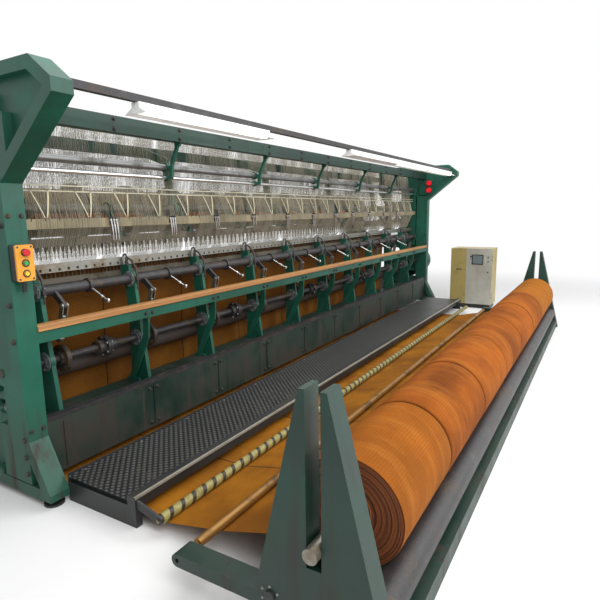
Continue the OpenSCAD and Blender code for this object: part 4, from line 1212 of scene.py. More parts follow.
@dataclass
class NetWeb:
    """The net from the knitting line under the walkway to the rear drum."""

    x0: float = -3.5
    width: float = 5.92
    columns: int = 330
    guides: tuple[Guide, ...] = (
        Guide(0.0540, 1.268, 0.0, -1), Guide(0.062, 1.160, 0.0, -1), Guide(0.026, 0.640, 0.0613, 1),
        Guide(0.056, 0.0903, 0.0313, 1), Guide(-1.130, 0.0873, 0.0283, 1), Guide(-1.490, 0.155, 0.0243, 1),
        Guide(-1.965, 0.184, 0.0763, -1), Guide(-1.993, 0.2557, 0.0, -1))

    def build(self) -> bpy.types.Object:
        """Lay the web over its guides, with slack waves on the open runs.

        A point is (x, path + normal times wave), and the wave fades out near a guide.

        Returns:
            The sheet.
        """
        path = guided(self.guides, 0.02)
        run = np.concatenate([[0], np.cumsum(np.linalg.norm(np.diff(path, axis=0), axis=1))])
        x = np.linspace(0, self.width, self.columns)
        across, along = np.meshgrid(x, run, indexing="ij")
        normal = np.gradient(path, axis=0)
        normal = unit(np.column_stack([-normal[:, 1], normal[:, 0]]))
        free = np.ones(len(path))
        for g in self.guides:
            near = np.hypot(path[:, 0] - g.y, path[:, 1] - g.z)
            free *= np.clip((near - g.reach - 0.01) / 0.16, 0, 1)
        slack = waves(across + 0.12 * along, 7, 3, 0.09, 0.6) * 0.0022 * free[None]
        points = np.stack([across + self.x0, path[None, :, 0] + slack * normal[None, :, 0],
                           path[None, :, 1] + slack * normal[None, :, 1]], -1)
        shape = grid(points, uv=np.stack([across, along], -1), tone=np.zeros_like(across))
        finish = LaneWeb(tint("a3680f"), tint("774708"), tint("20140a"), 0.67, 0.78)
        obj = piece("net_web", [(shape, PALETTE.special("net_web", finish))], "machine",
                    ["fabric_web"], 180)
        return obj


@dataclass
class ClothRoll:
    """The wound net: lanes with grooves between them and layers that show at the ends."""

    x0: float = -3.5
    width: float = 5.92
    y: float = -2.155
    z: float = 0.4306
    radius: float = 0.2355
    bore: float = 0.0301
    cuts: tuple[float, ...] = tuple(0.67 + 0.78 * k for k in range(7))
    segments: int = 144

    def build(self) -> bpy.types.Object:
        """Turn the roll with bulging lanes and soft dents.

        A point is (x, r cos a, r sin a) about the roll's axis. Its r is the roll's radius less the groove's
        depth, which falls off as exp(-(d / width) ** 2) with the distance d to the cut, plus belly and dents.

        Returns:
            The roll.
        """
        rng = np.random.default_rng(11)
        x = [0.004]
        for start, stop in zip((0.0,) + self.cuts, self.cuts + (self.width,)):
            inner = np.linspace(start + 0.012, stop - 0.012, 44)
            x += [*inner]
            if stop in self.cuts:
                x += [stop - 0.009, stop - 0.006, stop - 0.003, stop,
                      stop + 0.003, stop + 0.006, stop + 0.009]
        x = np.array(sorted(x + [self.width - 0.004]))
        lanes = np.searchsorted(np.array(self.cuts), x)
        lane_r = rng.uniform(-0.0035, 0.0, len(self.cuts) + 1)[lanes]
        near = np.min(np.abs(x[:, None] - np.array(self.cuts)[None]), axis=1)
        depth = 0.0105 * np.exp(-(near / 0.0070) ** 2)
        second = np.exp(-((x - self.cuts[0] - 0.055) / 0.005) ** 2)
        depth = depth + 0.005 * second
        belly = 0.0018 * np.clip(near / 0.05, 0, 1)
        edge = 0.004 * np.exp(-x / 0.006) + 0.004 * np.exp(-(self.width - x) / 0.006)
        a = np.arange(self.segments) * 2 * math.pi / self.segments
        xx, aa = np.meshgrid(x, a, indexing="ij")
        dents = 0.0009 * waves(xx + 0.25 * np.sin(aa + xx), 6, 5, 0.16, 0.9) * np.cos(aa * 3 + xx * 4)
        r = self.radius + (lane_r - depth + belly - edge - 0.0015)[:, None] + dents
        points = np.stack([self.x0 + xx, self.y + r * np.cos(aa), self.z + r * np.sin(aa)], -1)
        uv = np.stack([xx, aa * self.radius], -1)
        # The tone carries the groove depth; the net's finish paints shade into the grooves by it.
        tone = np.broadcast_to(np.clip(depth / 0.0075, 0, 1)[:, None], xx.shape)
        skin = grid(points, uv=uv, tone=tone)
        seam_uv = uv[:, :1] + np.array([0, 2 * math.pi * self.radius])
        seam = grid(np.concatenate([points[:, -1:], points[:, :1]], 1),
                    uv=np.concatenate([uv[:, -1:], seam_uv], 1),
                    tone=np.concatenate([tone[:, -1:], tone[:, :1]], 1))
        ends = [self.end(points[0], 0.0, 1), self.end(points[-1], self.width, -1)]
        bore = grid(np.stack([ends[0].points.reshape(-1, self.segments, 3)[-1],
                              ends[1].points.reshape(-1, self.segments, 3)[-1]]), close_v=True)
        knit = PALETTE.of(Finish.NET)
        layers = PALETTE.special("roll_layers", RollEnd(self.y + PLACE[1], self.z))
        side = joined([skin, seam])
        parts = [(Shape(side.points, [f[:, ::-1] for f in side.faces], side.uv, side.tone), knit),
                 (ends[0], layers), (ends[1], layers), (bore, layers)]
        return piece("cloth_roll_net", parts, "cloth_roll", ["cloth_roll"], 50)

    def end(self, rim: np.ndarray, x: float, inward: int) -> Shape:
        """Rings of layers from the rim to the bore, each pushed in or out by a few millimetres.

        A point is (depth, r cos a, r sin a); r runs evenly from the rim to the bore, and the depth is the
        ring's push plus 0.6 mm times a sine round the ring.

        Args:
            rim: points (segments, 3) of the outer ring.
            x: place of the end along the roll.
            inward: 1 where the roll lies at larger x.

        Returns:
            The end face.
        """
        rng = np.random.default_rng(7 + inward)
        rings = 46
        share = np.linspace(1, 0, rings)
        push = np.abs(rng.normal(0, 0.0022, rings)) + 0.017 * (1 - share) ** 1.4
        push[0] = 0
        rim_r = np.hypot(rim[:, 1] - self.y, rim[:, 2] - self.z)
        a = np.arctan2(rim[:, 2] - self.z, rim[:, 1] - self.y)
        r = self.bore + (rim_r[None] - self.bore) * share[:, None]
        depth = x + inward * (0.004 + push[:, None] + 0.0006 * np.sin(5 * a[None] + 9 * share[:, None]))
        points = np.stack([self.x0 + depth, self.y + r * np.cos(a), self.z + r * np.sin(a)], -1)
        shape = grid(points, close_v=True, tone=np.zeros(r.shape))
        if inward < 0:
            shape.faces = [f[:, ::-1] for f in shape.faces]
        return shape


@dataclass(frozen=True)
class RollEnd:
    """Rings of net layers seen edge on, light and dark by their distance from the axis."""

    y: float
    z: float

    def material(self, name: str) -> bpy.types.Material:
        """Build the material.

        Args:
            name: of the new material.

        Returns:
            The material.
        """
        b = Surface(name)
        p = b.place()
        _, y, z = b.axes(p)
        dy, dz = y - self.y, z - self.z
        radius = (dy * dy + dz * dz) ** 0.5
        ring = b.noise(b.node("ShaderNodeCombineXYZ", {}, {0: radius}), 95.0, 4.0, 0.7)
        fine = b.noise(p, 160.0, 3.0, 0.7)
        colour = b.blend(ring.ramp(0.38, 0.62), tint("3c1a08"), tint("87461a"))
        colour = b.blend(fine.ramp(0.5, 0.75) * 0.3, colour, tint("a8682c"))
        b.bump(ring + fine * 0.5, 0.003, 0.8)
        return b.set(Base_Color=colour, Roughness=0.8)


# Yarn


@dataclass
class WarpYarns:
    """Single yarns from the warp beams over the top tubes to the guides."""

    pitch: float = 0.0058
    radius: float = 0.0008
    beam_y: float = 1.06
    wound: float = 0.2
    front_tube: tuple[float, float] = (0.060, 2.250)
    rear_tube: tuple[float, float] = (0.550, 2.340)
    tube_r: float = 0.025
    tip_z: float = 1.326

    def columns(self, shift: float, seed: int) -> np.ndarray:
        """Places along x in the twelve lanes, clear of the arms and hangers.

        Args:
            shift: start of the row, in pitches.
            seed: for the small spread of the places.

        Returns:
            Array of x.
        """
        rng = np.random.default_rng(seed)
        x = np.arange(-3.41, 3.40, self.pitch) + shift * self.pitch
        x = x + rng.normal(0, 0.0009, len(x))
        section = 6.86 / 12
        inside = ((x + 3.43) % section > 0.016) & ((x + 3.43) % section < section - 0.036)
        arms = np.concatenate([PEDESTALS, PEDESTALS[::2] - 0.060])
        clear = np.min(np.abs(x[:, None] - arms[None]), axis=1) > 0.034
        return x[inside & clear]

    def strands(self, name: str, guides: Sequence[Guide], ends: Sequence[tuple[float, float]],
                shift: float, seed: int) -> bpy.types.Object:
        """One layer of yarns: over its guides, then straight through the given places.

        A yarn is the tube round (x + lean t ** 2, path(t)), where t runs from 0 at the beam to 1 at its end.

        Args:
            name: the piece's name.
            guides: beam and tubes.
            ends: further places (y, z).
            shift: start of the row, in pitches.
            seed: for the spread.

        Returns:
            The piece.
        """
        coarse = guided(guides, 0.004)
        run = np.linspace(0, len(coarse) - 1, 400).astype(int)
        coarse = coarse[run]
        bend = np.abs(np.diff(np.unwrap(np.arctan2(*np.diff(coarse, axis=0).T)), prepend=0, append=0))
        weight = np.concatenate([[0], np.cumsum(bend[1:] + 0.002)])
        pick = np.searchsorted(weight, np.linspace(0, weight[-1], 18)).clip(0, len(coarse) - 1)
        path = np.vstack([coarse[np.unique(pick)], np.array(ends)])
        x = self.columns(shift, seed)
        rng = np.random.default_rng(seed + 1)
        lean = rng.normal(0, 0.004, (len(x), 1)) * np.linspace(0, 1, len(path))[None] ** 2
        paths = np.empty((len(x), len(path), 3))
        paths[..., 0] = x[:, None] + lean
        paths[..., 1:] = path[None]
        return piece(name, [(tubes(paths, self.radius, 3), PALETTE.of(Finish.YARN))], "machine")

    def build(self) -> list[bpy.types.Object]:
        """Make both layers; the first stands for the solid sheets.

        Returns:
            The pieces.
        """
        upper = [Guide(self.beam_y, 1.62, self.wound + 0.0013, 1),
                 Guide(*self.rear_tube, self.tube_r + 0.0036, -1),
                 Guide(*self.front_tube, self.tube_r + 0.0036, -1), Guide(-0.030, 1.790, 0.0, -1)]
        lower = [Guide(self.beam_y, 0.70, self.wound + 0.0013, 1),
                 Guide(*self.rear_tube, self.tube_r + 0.0013, -1),
                 Guide(*self.front_tube, self.tube_r + 0.0013, -1), Guide(0.061, 1.600, 0.0, -1)]
        front = self.strands("front_yarns", upper,
                             [(-0.0225, 1.760), (-0.081, 1.570), (-0.0805, 1.524)], 0.0, 21)
        back = self.strands("back_yarns", lower, [(0.0615, 1.57)], 0.5, 22)
        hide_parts("yarn_sheets")
        return [front, back, *self.guide_ends()]

    def guide_ends(self) -> list[bpy.types.Object]:
        """The last stretch of both layers at the guide bars, and the stitches below.

        A yarn is the tube round (x, stop) over its stops (y, z).

        Returns:
            The pieces.
        """
        tip = self.tip_z
        rows = (
            ("front_guide_yarns", 0.0, 21, [(-0.0805, 1.524), (-0.030, 1.42), (0.004, tip + 0.004)],
             ("machine", "guide_swing"), (1.524, 1.43)),
            ("back_guide_yarns", 0.5, 22, [(0.0615, 1.57), (0.063, 1.52), (0.0635, 1.47), (0.062, 1.44),
                                           (0.0565, 1.40), (0.048, tip + 0.004)],
             ("machine", "guide_swing"), (1.57, 1.47)),
            ("stitch_yarns", 0.25, 23, [(0.004, tip + 0.002), (0.018, 1.315), (0.030, 1.302)],
             ("guide_swing", "machine"), (1.322, 1.305)),
            ("needle_loops", 0.25, 23, [(0.030, 1.302), (0.038, 1.296), (0.048, 1.285), (0.0540, 1.267)],
             ("machine", "needle_bar"), (1.302, 1.298)))
        made = []
        for name, shift, seed, stops, groups, (start, end) in rows:
            x = self.columns(shift, seed)
            paths = np.empty((len(x), len(stops), 3))
            paths[..., 0] = x[:, None]
            paths[..., 1:] = np.array(stops)[None]
            obj = piece(name, [(tubes(paths, self.radius, 3), PALETTE.of(Finish.YARN))], "")
            made.append(blended(obj, *groups, (0.0, 0.0, start), (0.0, 0.0, end)))
        return made


def blended(obj: bpy.types.Object, a: str, b: str, start: Sequence[float],
            end: Sequence[float]) -> bpy.types.Object:
    """Bake a piece's placement into its mesh; the piece rides on no body and does not bend.

    Args:
        obj: the finished piece.
        a: not used.
        b: not used.
        start: not used.
        end: not used.

    Returns:
        The piece.
    """
    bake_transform(obj)
    return obj


@dataclass
class YarnPackages:
    """Wound bobbins on the rear rack: a paper core with crossed windings and soft shoulders."""

    y: float = 0.445
    z: float = 1.6
    length: float = 0.11
    radius: float = 0.042
    places: tuple[float, ...] = tuple(-3.03 + 0.14 * i for i in range(7)) + (
        -1.52, -1.38, -0.86, -0.48, -0.34, 0.26, 0.94, 1.64)

    def build(self) -> bpy.types.Object:
        """Turn one package and repeat it.

        Returns:
            The piece.
        """
        r, length = self.radius, self.length
        winding = [[0.0, 0.016], [0.0, r - 0.004], [-0.004, r], [-0.03, r + 0.0015],
                   [-length + 0.012, r - 0.002],
                   [-length + 0.004, r - 0.007], [-length + 0.001, 0.017], [-length + 0.02, 0.016]]
        core = [[-length - 0.006, 0.0150], [-length - 0.006, 0.0165], [-0.002, 0.0165], [-0.002, 0.0150]]
        offsets = np.array([[x, self.y, self.z] for x in self.places])
        yarn = lathe(winding, (0, 0, 0), "Y", 28, ring=True).copies(offsets)
        tube = lathe(core, (0, 0, 0), "Y", 20, ring=True).copies(offsets)
        card = Plain(tint("a98c62"), 0.7, 0.3)
        return piece("packages", [(yarn, PALETTE.of(Finish.ORANGE_YARN)),
                                  (tube, PALETTE.special("core_card", card))],
                     "machine", ["yarn_packages"], 40)


@dataclass
class WarpBeam:
    """A warp beam: sections of wound yarn between dished flanges on one barrel."""

    name: str
    z: float
    y: float = 1.06
    x0: float = -3.43
    sections: int = 12
    flange: float = 0.25
    wound: float = 0.2

    def build(self) -> bpy.types.Object:
        """Turn one section and repeat it along the barrel.

        A turned point is (d, r cos a, r sin a); the wound yarn's r sways by a sine from band to band.

        Returns:
            The piece.
        """
        section = -2 * self.x0 / self.sections
        starts = self.x0 + section * np.arange(self.sections)
        offsets = np.array([[x, self.y, self.z] for x in starts])
        f, w = self.flange, self.wound
        disc = [[0.0, 0.069], [0.0, f - 0.004], [0.0015, f], [0.0065, f], [0.008, f - 0.004], [0.008, 0.069]]
        discs = joined([lathe(disc, (0, 0, 0), "X", 72, ring=True).copies(offsets),
                        lathe(disc, (section - 0.028, 0, 0), "X", 72, ring=True).copies(offsets)])
        bands = np.linspace(0.008, section - 0.028, 30)
        swell = w - 0.0012 + 0.0009 * np.sin(np.arange(30) * 2.4)
        yarn = lathe(np.column_stack([bands, swell]), (0, 0, 0), "X", 72).copies(offsets)
        barrel = lathe([[self.x0, 0.02], [self.x0, 0.07], [-self.x0, 0.07], [-self.x0, 0.02]],
                       (0, self.y, self.z), "X", 40)
        shaft = lathe([[-3.64, 0.0], [-3.64, 0.028], [-3.638, 0.03], [3.638, 0.03], [3.64, 0.028],
                       [3.64, 0.0]],
                      (0, self.y, self.z), "X", 32)
        bolts = joined([bolt((-0.0005, 0.1 * math.cos(a), 0.1 * math.sin(a)), "X", 0.018, -1)
                        for a in np.arange(6) * math.pi / 3]).copies(offsets)
        metal = PALETTE.of(Finish.STEEL)
        return piece("warp_beam_" + self.name + "_wound",
                     [(discs, metal), (yarn, PALETTE.of(Finish.BEAM_YARN)), (barrel, metal), (shaft, metal),
                      (bolts, PALETTE.of(Finish.BLACK))],
                     "warp_beam_" + self.name, ["warp_beam_" + self.name])


# Rail


@dataclass
class HandRail:
    """The wooden hand rail: a stepped section carried along x, its edges rounded and its top worn."""

    low: float = 0.966
    top: float = 1.0
    front: float = -0.298
    depth: float = 0.118
    step_y: float = -0.252

    def build(self) -> bpy.types.Object:
        """Carry the section along the machine with slow waves in its top.

        A point is (x, y, z + sag(x)) above the section's foot and (x, y, z) at the foot itself.

        Returns:
            The rail.
        """
        f, d, r = self.front, self.depth, 0.003
        section = np.array([
            [f + 0.002, self.low], [f + d - 0.002, self.low], [f + d, self.low + 0.002],
            [f + d, self.top - 0.013], [f + d - r, self.top - 0.010], [self.step_y + 0.005, self.top - 0.010],
            [self.step_y, self.top - 0.0095], [self.step_y - 0.004, self.top - r],
            [self.step_y - 0.007, self.top],
            [f + 0.008, self.top], [f + r, self.top - 0.001], [f, self.top - 0.005], [f, self.low + 0.002]])
        x = np.linspace(-HALF + 0.0005, HALF - 0.0005, 240)
        sag = 0.0006 * waves(x, 5, 9, 0.3, 1.8)
        points = np.empty((len(x), len(section), 3))
        points[..., 0] = x[:, None]
        points[..., 1:] = section[None]
        points[..., 2] += np.where(section[None, :, 1] > self.low + 0.01, sag[:, None] - 0.0007, 0)
        run = np.concatenate([[0], np.cumsum(np.linalg.norm(np.diff(section, axis=0), axis=1))])
        uv = np.stack(np.broadcast_arrays(x[:, None], run[None]), -1)
        rail = capped(grid(points, close_v=True, uv=uv), len(x), len(section))
        screws = lathe([[-0.0004, 0.0055], [0.0009, 0.0055], [0.0014, 0.0045]], (0, 0, 0), "Z", 12).copies(
            np.array([[x + s, self.step_y + 0.03, self.top - 0.0106] for x in BAYS for s in (-0.02, 0.02)]))
        return piece("wooden_rail", [(rail, PALETTE.of(Finish.WOOD)), (screws, PALETTE.of(Finish.BLACK))],
                     "machine", ["hand_rail"], 30)


# Small parts


def row(x: Iterable[float], y: float, z: float) -> np.ndarray:
    """Places (x, y, z) along the machine"""
    return np.array([[v, y, z] for v in x])


def ring_bolts(x: float, centre: Sequence[float], radius: float, count: int, size: float,
               toward: int) -> Shape:
    """Bolts on a circle round the x axis.

    Args:
        x: the face that they stand on.
        centre: middle (y, z) of the circle.
        radius: of the circle.
        count: number of bolts.
        size: width of a head.
        toward: side of the face, 1 or -1.

    Returns:
        The heads.
    """
    angles = np.arange(count) * 2 * math.pi / count + math.pi / count
    return joined([bolt((x, centre[0] + radius * math.cos(a), centre[1] + radius * math.sin(a)),
                        "X", size, toward)
                   for a in angles])


@dataclass
class Fasteners:
    """Hexagon bolts that hold the end frames, beams, channel and brackets together."""

    near_face: float = -3.668
    column_y: float = -0.258
    bed_front: float = -0.280
    channel_front: float = -0.286
    top_front: float = -0.250

    def build(self) -> bpy.types.Object:
        """Set the bolts on their faces.

        Returns:
            The piece.
        """
        column = [0.17, 0.27, 0.37, 0.93, 1.13, 1.55, 1.78, 1.98]
        side = bolt((0, 0, 0), "X", 0.026, -1).copies(row([self.near_face] * len(column), self.column_y, 0)
                                                      + np.array([[0, 0, z] for z in column]))
        column = np.array([[HALF, self.column_y, z] for z in (1.2, 1.4, 1.6)])
        far = bolt((0, 0, 0), "X", 0.026, -1).copies(column)
        front = bolt((0, 0, 0), "Y", 0.022, -1)
        bed = front.copies(np.vstack([row([x + s], self.bed_front, z) for x in BAYS
                                      for s in (-0.035, 0.035) for z in (0.150, 0.395)]))
        channel = front.copies(np.vstack([row(BAYS + s, self.channel_front, 0.933) for s in (-0.03, 0.03)]))
        top = front.copies(np.vstack([row(np.linspace(-3.47, 3.47, 13), self.top_front, z)
                                      for z in (2.13, 2.19)]))
        face = front.copies(np.array([[x, -0.290, z] for x in (-3.645, -3.575)
                                      for z in (0.2, 0.42, 1.6, 1.95)]))
        heads = joined([side, far, bed, channel, top, face])
        return piece("frame_bolts", [(heads, PALETTE.of(Finish.BLACK))], "machine")


@dataclass
class Bearings:
    """Bolted caps of the main shaft and the rocker tube on both sides of each pedestal."""

    shaft: tuple[float, float] = (-0.100, 0.732)
    rocker: tuple[float, float] = (-0.070, 1.150)
    half_t: float = 0.014

    def cap(self, at: tuple[float, float], bore: float, rim: float, toward: int) -> tuple[Shape, Shape]:
        """One cap and its bolts.

        Args:
            at: centre (y, z).
            bore: radius of the hole.
            rim: outer radius.
            toward: side of the pedestal.

        Returns:
            The cap and the bolts, at x = 0.
        """
        x0, t = self.half_t * toward, toward
        profile = [[x0, bore], [x0, rim], [x0 + 0.005 * t, rim], [x0 + 0.007 * t, rim - 0.002],
                   [x0 + 0.008 * t, bore + 0.006], [x0 + 0.011 * t, bore + 0.004], [x0 + 0.011 * t, bore]]
        return (lathe(profile, (0, *at), "X", 36, ring=True),
                ring_bolts(x0 + 0.007 * t, at, (bore + 0.006 + rim) / 2, 6, 0.010, t))

    def hook_foot(self) -> Shape:
        """Nut and sleeve at the foot of a hook, and its bent leg clipped to the pedestal's front.

        Returns:
            The foot at x 0.
        """
        at = (0, -0.040, 1.250)
        sleeve = lathe([[0.0003, 0.0063], [0.0003, 0.016], [0.0030, 0.016], [0.0035, 0.0105], [0.046, 0.0100],
                        [0.050, 0.0085], [0.050, 0.0063]], at, "Z", 20, ring=True)
        nut = lathe([[0.0035, 0.0101], [0.0035, 0.0135], [0.0125, 0.0135], [0.0135, 0.012], [0.0135, 0.0101]],
                    at, "Z", 6, ring=True)
        path = np.array([[0, -0.041, 1.303], [0, -0.080, 1.285], [0, -0.125, 1.235], [0, -0.1365, 1.175],
                         [0, -0.1370, 1.085]])
        leg = tubes(path, np.array([0.005, 0.007, 0.0075, 0.0075, 0.0065]), 10)
        clip = block((-0.013, -0.147, 1.140), (0.013, -0.1266, 1.166), 0.002)
        return joined([sleeve, nut, leg, clip])

    def build(self) -> bpy.types.Object:
        """Set the caps on all pedestals.

        Returns:
            The piece.
        """
        made = [self.cap(at, bore, rim, t) for at, bore, rim in
                ((self.shaft, 0.0256, 0.060), (self.rocker, 0.0356, 0.055)) for t in (-1, 1)]
        places = row(PEDESTALS, 0, 0)
        caps = joined([c for c, _ in made]).copies(places)
        bolts = joined([b for _, b in made]).copies(places)
        return piece("bearing_caps", [(caps, PALETTE.of(Finish.CAST)), (bolts, PALETTE.of(Finish.STEEL)),
                                      (self.hook_foot().copies(places), PALETTE.of(Finish.BLACK))],
                     "machine")


@dataclass
class ShaftParts:
    """Flanges of the couplings and wear rings and set screws of the cam discs; all turn with the shaft."""

    y: float = -0.100
    z: float = 0.732
    sleeve: float = 0.0471
    cam_r: float = 0.085
    cam_drop: float = 0.004
    shift: float = 0.100
    sleeve_middle: float = 0.065

    def build(self) -> bpy.types.Object:
        """Turn one flange pair and one pair of rings and repeat them along the shaft.

        Returns:
            The piece.
        """
        at = (self.y, self.z)
        s, f = self.sleeve, self.sleeve + 0.023
        profile = [[-0.016, s], [-0.016, f - 0.002], [-0.014, f], [-0.001, f], [-0.001, f - 0.004],
                   [0.001, f - 0.004], [0.001, f], [0.014, f], [0.016, f - 0.002], [0.016, s]]
        flange = lathe(profile, (0, *at), "X", 40, ring=True)
        heads = joined([ring_bolts(0.016 * t, at, s + 0.012, 6, 0.015, t) for t in (-1, 1)])
        middles = row(PEDESTALS[:-1:2] + BAY / 2 + self.sleeve_middle, 0, 0)
        cam = (self.y, self.z - self.cam_drop)
        r = self.cam_r
        rings = joined([lathe([[0.012 * t, r - 0.017], [0.0145 * t, r - 0.015], [0.0145 * t, r - 0.003],
                               [0.012 * t, r - 0.001]], (0, *cam), "X", 48, ring=True) for t in (-1, 1)])
        hub = joined([bolt((0.03, self.y + 0.0425 * math.cos(a), self.z + 0.0425 * math.sin(a)),
                           "X", 0.008, 1) for a in (0.3, 2.4, 4.5)])
        cams = row(PEDESTALS + self.shift, 0, 0)
        brass = PALETTE.special("cam_brass", BareMetal(tint("5e4728"), tint("1d140a"), 0.95, 0.42, 0.55))
        dark = PALETTE.of(Finish.BLACK)
        return piece("shaft_parts", [(flange.copies(middles), dark),
                                     (heads.copies(middles), PALETTE.of(Finish.STEEL)),
                                     (rings.copies(cams), brass), (hub.copies(cams), brass)],
                     "main_shaft")


@dataclass
class LiftRods:
    """A bright rod with an eye midway between two pedestals, clamped to the rocker tube."""

    tube: tuple[float, float] = (-0.070, 1.150)
    tube_r: float = 0.0352
    tip: tuple[float, float] = (-0.250, 1.062)

    def build(self) -> bpy.types.Object:
        """Shape one rod with its clamp and eye and repeat it.

        Returns:
            The piece.
        """
        tube, tip = np.array(self.tube), np.array(self.tip)
        way = unit(tip - tube)
        stops = [tube + 0.040 * way, tube + 0.050 * way, tip - 0.040 * way, tip - 0.012 * way]
        path = np.array([[0.0, *s] for s in stops])
        rod = tubes(path, np.array([0.0085, 0.0065, 0.0065, 0.0065]), 12)
        nut = tubes(np.array([[0.0, *(tip - 0.062 * way)], [0.0, *(tip - 0.050 * way)]]), 0.011, 6)
        r = self.tube_r
        clamp = lathe([[-0.013, r], [-0.013, r + 0.010], [-0.011, r + 0.012], [0.011, r + 0.012],
                       [0.013, r + 0.010],
                       [0.013, r]], (0, *self.tube), "X", 36, ring=True)
        eye = lathe([[-0.007, 0.005], [-0.007, 0.013], [-0.005, 0.015], [0.005, 0.015],
                     [0.007, 0.013], [0.007, 0.005]],
                    (0, *self.tip), "X", 24, ring=True)
        pin = lathe([[-0.011, 0.0], [-0.011, 0.0045], [-0.010, 0.005], [0.010, 0.005],
                     [0.011, 0.0045], [0.011, 0.0]],
                    (0, *self.tip), "X", 16)
        places = row(PEDESTALS[:-1] + BAY / 2, 0, 0)
        bright = PALETTE.of(Finish.CHROME)
        return piece("lift_rods", [(joined([rod, nut, eye]).copies(places), bright),
                                   (joined([clamp, pin]).copies(places), PALETTE.of(Finish.BLACK))],
                     "rocker")


@dataclass
class LeverClusters:
    """Three slanting bright levers on a small block, clamped to the yarn guide plate in each bay."""

    places: tuple[float, ...] = (
        -2.81, -2.26, -1.74, -1.20, -0.60, -0.05, 0.50, 1.00, 1.55, 2.10, 2.65)
    plate_y: float = -0.0772
    z: float = 1.548

    def build(self) -> bpy.types.Object:
        """Shape one cluster and repeat it.

        Returns:
            The piece.
        """
        y, z = self.plate_y, self.z
        holder = block((-0.034, y - 0.011, z - 0.013), (0.034, y, z + 0.013), 0.002)
        levers, knobs = [], []
        for dx in (-0.022, 0.0, 0.022):
            path = np.array([[dx - 0.012, y - 0.016, z + 0.028], [dx - 0.006, y - 0.016, z + 0.008],
                             [dx + 0.014, y - 0.004, z - 0.075], [dx + 0.022, y + 0.007, z - 0.118]])
            levers.append(tubes(path, np.array([0.0045, 0.0055, 0.005, 0.0035]), 8))
            knobs.append(lathe([[0.0, 0.0], [0.0, 0.005], [0.004, 0.008], [0.010, 0.008],
                                [0.014, 0.005], [0.014, 0.0]],
                               (dx - 0.012, y - 0.016, z + 0.024), "Z", 12))
        screws = joined([bolt((dx, y - 0.011, z - 0.004), "Y", 0.009, -1) for dx in (-0.011, 0.011)])
        places = row(self.places, 0, 0)
        black = joined([holder, *knobs, screws])
        return piece("lever_clusters", [(joined(levers).copies(places), PALETTE.of(Finish.CHROME)),
                                        (black.copies(places), PALETTE.of(Finish.BLACK))],
                     "machine")


@dataclass
class YarnBundles:
    """Pale bundles of yarn in a V from lower tension rail to guide plate, and the springs of the rails."""

    first: float = -3.30
    pitch: float = 0.30
    count: int = 23
    top: tuple[float, float] = (-0.0385, 1.742)
    bottom: tuple[float, float] = (-0.0850, 1.584)

    def build(self) -> bpy.types.Object:
        """Draw both legs of each V as several strands and coil one spring, then repeat them.

        At the share t of its way down a strand stands aside by 6 mm plus 48 mm times (1 - t) and sags by 4 mm
        times sin(pi t). The spring is the helix (r cos a, r sin a), rising evenly over six turns.

        Returns:
            The piece.
        """
        rng = np.random.default_rng(31)
        places = row(self.first + self.pitch * np.arange(self.count), 0, 0)
        share = np.linspace(0, 1, 6)[None]
        side = np.repeat([-1.0, 1.0], 7)[:, None]
        spread = rng.normal(0, 0.0035, (14, 1))
        paths = np.empty((14, 6, 3))
        paths[..., 0] = side * (0.006 + 0.048 * (1 - share)) + spread * (1 - 0.5 * share)
        sag = 0.004 * np.sin(math.pi * share)
        paths[..., 1] = self.top[0] + (self.bottom[0] - self.top[0]) * share - 0.002 - sag
        paths[..., 2] = self.top[1] + (self.bottom[1] - self.top[1]) * share
        strands = tubes(paths, 0.0016, 4).copies(places)
        turn = np.linspace(0, 2 * math.pi * 6, 61)
        coil = np.column_stack([0.0045 * np.cos(turn), -0.0405 + 0.0045 * np.sin(turn),
                                np.linspace(1.744, 1.782, 61)])
        beside = np.vstack([places + [s, 0, 0] for s in (-0.055, 0.055)])
        springs = tubes(coil, 0.0009, 4, (0, 0, 1)).copies(beside)
        pale = PALETTE.special("bundle_yarn", Strands(tint("e2dcc0"), tint("b9b08c")))
        return piece("yarn_bundles", [(strands, pale), (springs, PALETTE.of(Finish.STEEL))],
                     "machine")


@dataclass
class Lamps:
    """End caps and holders of the lamp tubes, and the bezels of the two signal lamps."""

    starts: tuple[float, ...] = (-3.080, -0.340, 0.950, 2.240)
    length: float = 1.270
    y: float = -0.660
    z: float = 2.210
    half_w: float = 0.086
    signal_y: float = -0.310
    signal_z: tuple[float, float] = (1.929, 2.043)

    def build(self) -> bpy.types.Object:
        """Carry the cap's outline along x and turn holders and bezels.

        Returns:
            The piece.
        """
        y, z, w = self.y, self.z, self.half_w
        outline = [[y - 0.031, z], [y - 0.031, z - 0.030], [y - w, z - 0.063], [y + w, z - 0.063],
                   [y + 0.031, z - 0.030],
                   [y + 0.031, z]]
        caps = joined([plate(outline, x, x + 0.005, 0.001) for s in self.starts
                       for x in (s - 0.0055, s + self.length + 0.0005)])
        holder = lathe([[0.0, 0.0], [0.0, 0.0165], [0.014, 0.0165], [0.016, 0.014], [0.016, 0.0]],
                       (0, 0, 0), "X", 20)
        sockets = holder.copies(np.array([[x, y + t, z - 0.0445] for s in self.starts
                                          for x in (s + 0.004, s + self.length - 0.020)
                                          for t in (-0.015, 0.015)]))
        face = HALF - 0.014
        bezel = lathe([[face + 0.0135, 0.038], [face + 0.0135, 0.0505], [face - 0.005, 0.0515],
                       [face - 0.008, 0.0495], [face - 0.006, 0.0462], [face + 0.0005, 0.0468]],
                      (0, self.signal_y, 0), "X", 40, ring=True)
        bezels = bezel.copies(np.array([[0, 0, v] for v in self.signal_z]))
        return piece("lamp_parts", [(joined([caps, sockets]), PALETTE.of(Finish.LAMP)),
                                    (bezels, PALETTE.of(Finish.BLACK))], "machine")


